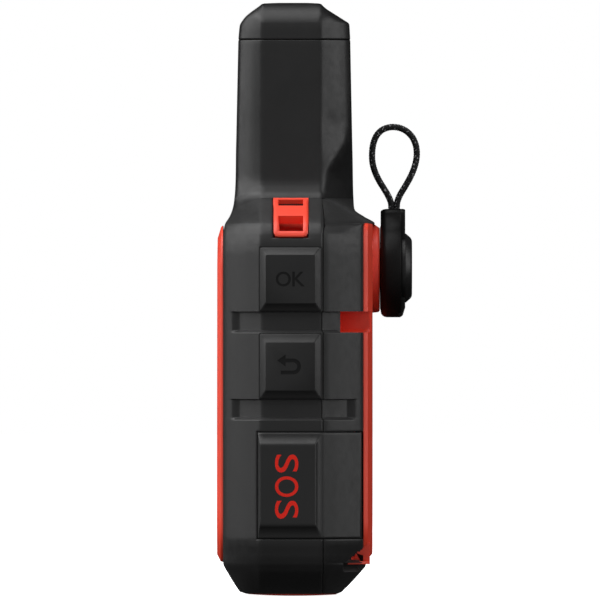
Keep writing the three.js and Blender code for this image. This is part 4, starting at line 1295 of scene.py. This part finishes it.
CROWNS = {
    "ok_key": (48.8, 56.85),
    "back_key": (34.3, 42.3),
    "up_key": (48.8, 56.85),
    "down_key": (34.3, 42.3),
    "power_key": (21.7, 26.4),
}
CROWN_Y = (-4.8, 3.4)
LEGEND_RISE = 0.025  # the printed legend's height on its cover
STEM = 2.5  # half the width and height of a key's stem
FLANGE = 24.15  # centre to the inner face of a key's flange
KEY_SPREAD = 0.09  # the visible key fills its slot to within a hair
KEY_SWEEP = 0.3  # how much the foot of a key sweeps out into its flange


def keys():
    """Rubber keys: a stem, a flange, and a raised crown with its legend sunk into it."""
    shapes = icons()
    for node, side in KEYS.items():
        low, high = place(node)
        top = max(abs(low[0]), abs(high[0]))
        stem = min(abs(low[0]), abs(high[0]))
        middle = (low + high) / 2
        _, y, z = middle
        stem_outline = rounded(rect(y - STEM, y + STEM, z - STEM, z + STEM), 0.4)
        foot = key_foot(low[2]) - KEY_SPREAD
        base = rounded(rect(low[1] - KEY_SPREAD, high[1] + KEY_SPREAD, foot, high[2] + KEY_SPREAD), 0.3)
        z0, z1 = CROWNS[node]
        crown = rounded(rect(*CROWN_Y, z0, z1), 0.3)
        flange = side * FLANGE
        loops = [in_yz(stem_outline, side * stem), in_yz(stem_outline, flange), in_yz(base, flange)]
        for share in (0, 0.25, 0.5, 0.7, 0.85, 1):
            height = KEY_SWEEP * share**2.2 + (1 - KEY_SWEEP) * share
            x = (SIDE - 0.03) + (top - SIDE + 0.03) * height
            loops.append(in_yz(base + (crown - base) * share, side * x))
        piece = rings(f"{node}_cap", loops, KEY_RUBBER, bevel=0.12, angle=35, body=f"{node}_body", node=node)
        centre = ((CROWN_Y[0] + CROWN_Y[1]) / 2, (z0 + z1) / 2)
        for shape in shapes[node]:
            points, faces = on_side(shape, side, centre, top, 0.26)
            cut(piece, tool(new_object, "sunk", points, faces, LEGEND_DARK))
        smooth(piece, 30)


PAD_SWEEP = 0.85  # how much the foot of a raised pad sweeps out into the surface round it


def pad_height(points, low, high, crown):
    """How far a cover's pad stands out: a frustum with soft edges, 0 to 1."""
    _, y, z = np.moveaxis(points, -1, 0)
    front, rear = (low[1], crown[0]), (crown[1], FLAT_BACK + 0.1)
    share = np.minimum.reduce([
        (y - front[0]) / (front[1] - front[0]),
        (rear[1] - y) / (rear[1] - rear[0]),
        (z - low[2]) / (crown[2] - low[2]),
        (high[2] - z) / (high[2] - crown[3]),
    ])
    soft = 0.16
    share = np.clip(share, 0, 1 + soft)
    swept = PAD_SWEEP * np.clip(share, 0, 1) ** 2.2 + (1 - PAD_SWEEP) * np.clip(share, 0, 1)
    return np.where(share > 1 - soft, 1 - (1 + soft - share) ** 2 / (2.4 * soft), swept)


def covers():
    """The rubber covers, which wrap round the rear bevel to a bead that they swing on."""
    places = {"sos_cover": (-5.5, 3.3, 11.9, 25.4), "usb_cover": (-5.5, 3.3, 11.4, 17.8)}
    for node, side in COVERS.items():
        low, high = place(node)
        crown = places[node]
        y_marks = [low[1], low[1] + 0.3, crown[0], crown[1], 4.0, FLAT_BACK + 0.1]
        z_marks = [low[2], high[2], crown[2], crown[3]]
        rows = full_rows(lines(low[2], high[2], 0.35, z_marks, near=(0.1, 0.22, 0.4)))
        sides = lines(low[1], 10.86, 0.35, y_marks, near=(0.1, 0.22, 0.4))
        columns = case_form.columns_at([], sides, [], side)
        rise = max(abs(low[0]), abs(high[0])) - LEGEND_RISE - SIDE

        def raised(points, low=low, high=high, crown=crown, rise=rise):
            _, y, z = np.moveaxis(points, -1, 0)
            rim = np.minimum.reduce([y - low[1], z - low[2], high[2] - z])
            edge = 0.16 * np.clip(1 - rim / 0.25, 0, 1) ** 2
            return edge - rise * pad_height(points, low, high, crown)

        skin(f"{node}_flap", case_form, rows, columns, KEY_RUBBER, COVER_WALL, depth=raised,
             body=f"{node}_body", node=node)
        bead = (np.array(HINGE) + 0.56 * circle(24)) * (side, 1)
        loops = [np.column_stack([bead, np.full(24, z)]) for z in (low[2], high[2])]
        rings(f"{node}_bead", loops, KEY_RUBBER, bevel=0.1, body=f"{node}_body", node=node)
    low, high = place("sos_cover")
    crown = places["sos_cover"]
    centre = ((crown[0] + crown[1]) / 2 - 0.22, (crown[2] + crown[3]) / 2 - 0.3)
    vertices, faces = [], []
    for shape in legend("SOS", (3.0, 3.42, 3.0), 0.62, 3.88, 0.005):
        points, more = on_side(shape, 1, centre, high[0] - LEGEND_RISE, 2 * LEGEND_RISE, turned_over=True)
        faces += [tuple(v + len(vertices) for v in face) for face in more]
        vertices += points.tolist()
    new_object("sos_legend", vertices, faces, LEGEND_RED, body="sos_cover_body")
    low, high = place("sos_button")
    outline = rounded(rect(low[1], high[1], low[2], high[2]), 0.8)
    bar("sos_button_cap", outline, low[0], high[0], RED_RUBBER, bevel=0.3, body="sos_button_body",
        node="sos_button")


keys()
covers()


# ------------------------------------------------------------------ tether
NECK_HALF = 3.4  # half width of the puck's neck
DISC_REAR = 17.87  # rear face of the disc beside the spine
CORD_EYE = rect(-0.75, 0.75, 15.2, 17.8)  # the hole in the neck that the cord's ends go down, x and y


def puck_outline(inset=0.0):
    """A disc that runs up into a narrow neck."""
    low, high = place("tether_puck")
    radius = (high[0] - low[0]) / 2 - inset
    half, top = NECK_HALF - inset, high[2] - inset * 0.5
    start = 53.0  # degrees round from the side, where the disc meets the neck
    round_disc = arc((0, MOUNT_Z), radius, start, -180 - start, 72)
    neck_foot = MOUNT_Z + radius * math.sin(math.radians(start)) + 1.5
    right = [(half + 0.25, neck_foot), (half, neck_foot + 0.9), (half - 0.1, top - 1.1)]
    side = np.vstack([right, arc((half - 1.1, top - 1.1), 1.0, 0, 90, 7)])
    return np.vstack([round_disc, side * (-1, 1), side[::-1]])[::-1]


def spine_outline(foot, inset=0.0):
    """The neck's band, which runs on behind the disc down to its foot."""
    top = place("tether_puck")[1][2] - inset
    half = NECK_HALF - 0.06 - inset
    side = np.vstack([[(half, foot), (half - 0.04, top - 1.1)], arc((half - 1.1, top - 1.1), 1.0, 0, 90, 7)])
    return np.vstack([side, side[::-1] * (-1, 1)])


def tether():
    low, high = place("tether_puck")
    face, outer = low[1], high[1]
    layers = ((1.0, face), (0.55, face + 0.1), (0.25, face + 0.35), (0.08, face + 0.65), (0.0, face + 1.0),
              (0.0, DISC_REAR - 0.25), (0.08, DISC_REAR - 0.08), (0.25, DISC_REAR))
    loops = [in_xz(puck_outline(inset), y) for inset, y in layers]
    puck = rings("puck_body", loops, PUCK_BLACK, angle=30, body="tether", node="tether_puck")
    bottom = low[2]
    layers = ((bottom + 0.05, 0.0, DISC_REAR - 0.5), (bottom + 0.1, 0.0, DISC_REAR - 0.05),
              (bottom + 0.35, 0.0, 18.1), (bottom + 1.3, 0.05, outer - 0.12), (bottom + 1.6, 0.2, outer))
    loops = [in_xz(spine_outline(foot, inset), y) for foot, inset, y in layers]
    spine = rings("puck_spine", loops, PUCK_BLACK, angle=30, body="tether", node="tether_puck")
    for piece in (puck, spine):
        seat = tool(turned, "seat", [(5.9, outer - 0.75), (5.9, outer + 1)], (0, MOUNT_Z), PUCK_BLACK)
        loops = [np.column_stack([rounded(CORD_EYE, 0.5), np.full(20, z)]) for z in (59.4, 70)]
        cut(piece, seat, tool(rings, "eye", loops, PUCK_BLACK))
    cut(puck, tool(turned, "bore", [(3.3, face - 1), (3.3, 16.3)], (0, MOUNT_Z), PUCK_BLACK, steps=48))
    smooth(puck, 30)
    smooth(spine, 30)
    land = [(3.4, face + 0.3), (3.4, face - 0.1), (6.9, face - 0.1), (7.0, face), (7.0, face + 0.3)]
    turned("puck_land", land, (0, MOUNT_Z), PUCK_BLACK, closed=True, steps=96, body="tether",
           node="tether_puck")
    low, high = place("tether_cap")
    radius = (high[0] - low[0]) / 2
    profile = [(0.05, low[1]), (radius, low[1]), (radius, 18.6), (radius - 0.75, 19.45),
               (4.6, high[1]), (3.9, high[1]), (3.7, high[1] - 0.16), (0.05, high[1] - 0.2)]
    profile = soft_profile(profile, 0.18)
    turned("puck_button", profile, (0, MOUNT_Z), BLACK, steps=96, body="tether", node="tether_cap")


tether()


# ------------------------------------------------------------------ stage
SKY_TOWARDS = (0.97, -0.1, 0.2)  # the studio's ambient light is brightest from here


def stage():
    """A pale floor, the studio's ambient light, and a plain white surround that only the camera sees."""
    material, tree, shader = node_tree("paper")
    cloud = noise(tree, 3.0)
    tint = ramp(tree, cloud.outputs["Fac"], 0.3, 0.7, grey(0.90), grey(0.92))
    tree.links.new(tint, shader.inputs["Base Color"])
    shader.inputs["Roughness"].default_value = 0.9
    shader.inputs["Emission Color"].default_value = (1, 1, 1, 1)
    shader.inputs["Emission Strength"].default_value = 0.95
    angles = np.linspace(0, 2 * math.pi, 64, endpoint=False)
    mesh = bpy.data.meshes.new("floor")
    mesh.from_pydata([(4 * math.cos(a), 4 * math.sin(a), 0) for a in angles], [], [tuple(range(64))])
    mesh.materials.append(material)
    mesh.shade_smooth()
    floor = bpy.data.objects.new("floor", mesh)
    bpy.context.scene.collection.objects.link(floor)
    floor.visible_diffuse = False
    floor.visible_glossy = False
    floor.visible_shadow = False
    world = bpy.data.worlds.new("studio")
    world.use_nodes = True
    nodes = world.node_tree
    where = nodes.nodes.new("ShaderNodeTexCoord")
    towards = add(nodes, "ShaderNodeVectorMath")
    towards.operation = "DOT_PRODUCT"
    towards.inputs[1].default_value = Vector(SKY_TOWARDS).normalized()
    nodes.links.new(where.outputs["Generated"], towards.inputs[0])
    glow = ramp(nodes, towards.outputs["Value"], 0.2, 1.0, grey(0.01), grey(0.41))
    nodes.links.new(glow, nodes.nodes["Background"].inputs["Color"])
    white = add(nodes, "ShaderNodeBackground", Color=(1, 1, 1, 1))
    ray = nodes.nodes.new("ShaderNodeLightPath")
    either = nodes.nodes.new("ShaderNodeMixShader")
    nodes.links.new(ray.outputs["Is Camera Ray"], either.inputs[0])
    nodes.links.new(nodes.nodes["Background"].outputs["Background"], either.inputs[1])
    nodes.links.new(white.outputs["Background"], either.inputs[2])
    nodes.links.new(either.outputs["Shader"], nodes.nodes["World Output"].inputs["Surface"])
    bpy.context.scene.world = world


def lamp(name, where, size, watts):
    """A soft square light that faces the unit."""
    data = bpy.data.lights.new(name, "AREA")
    data.shape = "SQUARE"
    data.size = size
    data.energy = watts
    light = bpy.data.objects.new(name, data)
    light.location = Vector(where)
    light.visible_camera = False
    light.rotation_euler = (MIDDLE - light.location).to_track_quat("-Z", "Y").to_euler()
    bpy.context.scene.collection.objects.link(light)


stage()
lamp("top", (0.25, -0.25, 1.0), 1.0, 8.2)
lamp("left", (0.1, -0.95, 0.6), 1.2, 12.5)
lamp("right", (0.35, 0.95, 0.4), 0.9, 5.4)

bpy.context.scene.view_settings.view_transform = "Standard"
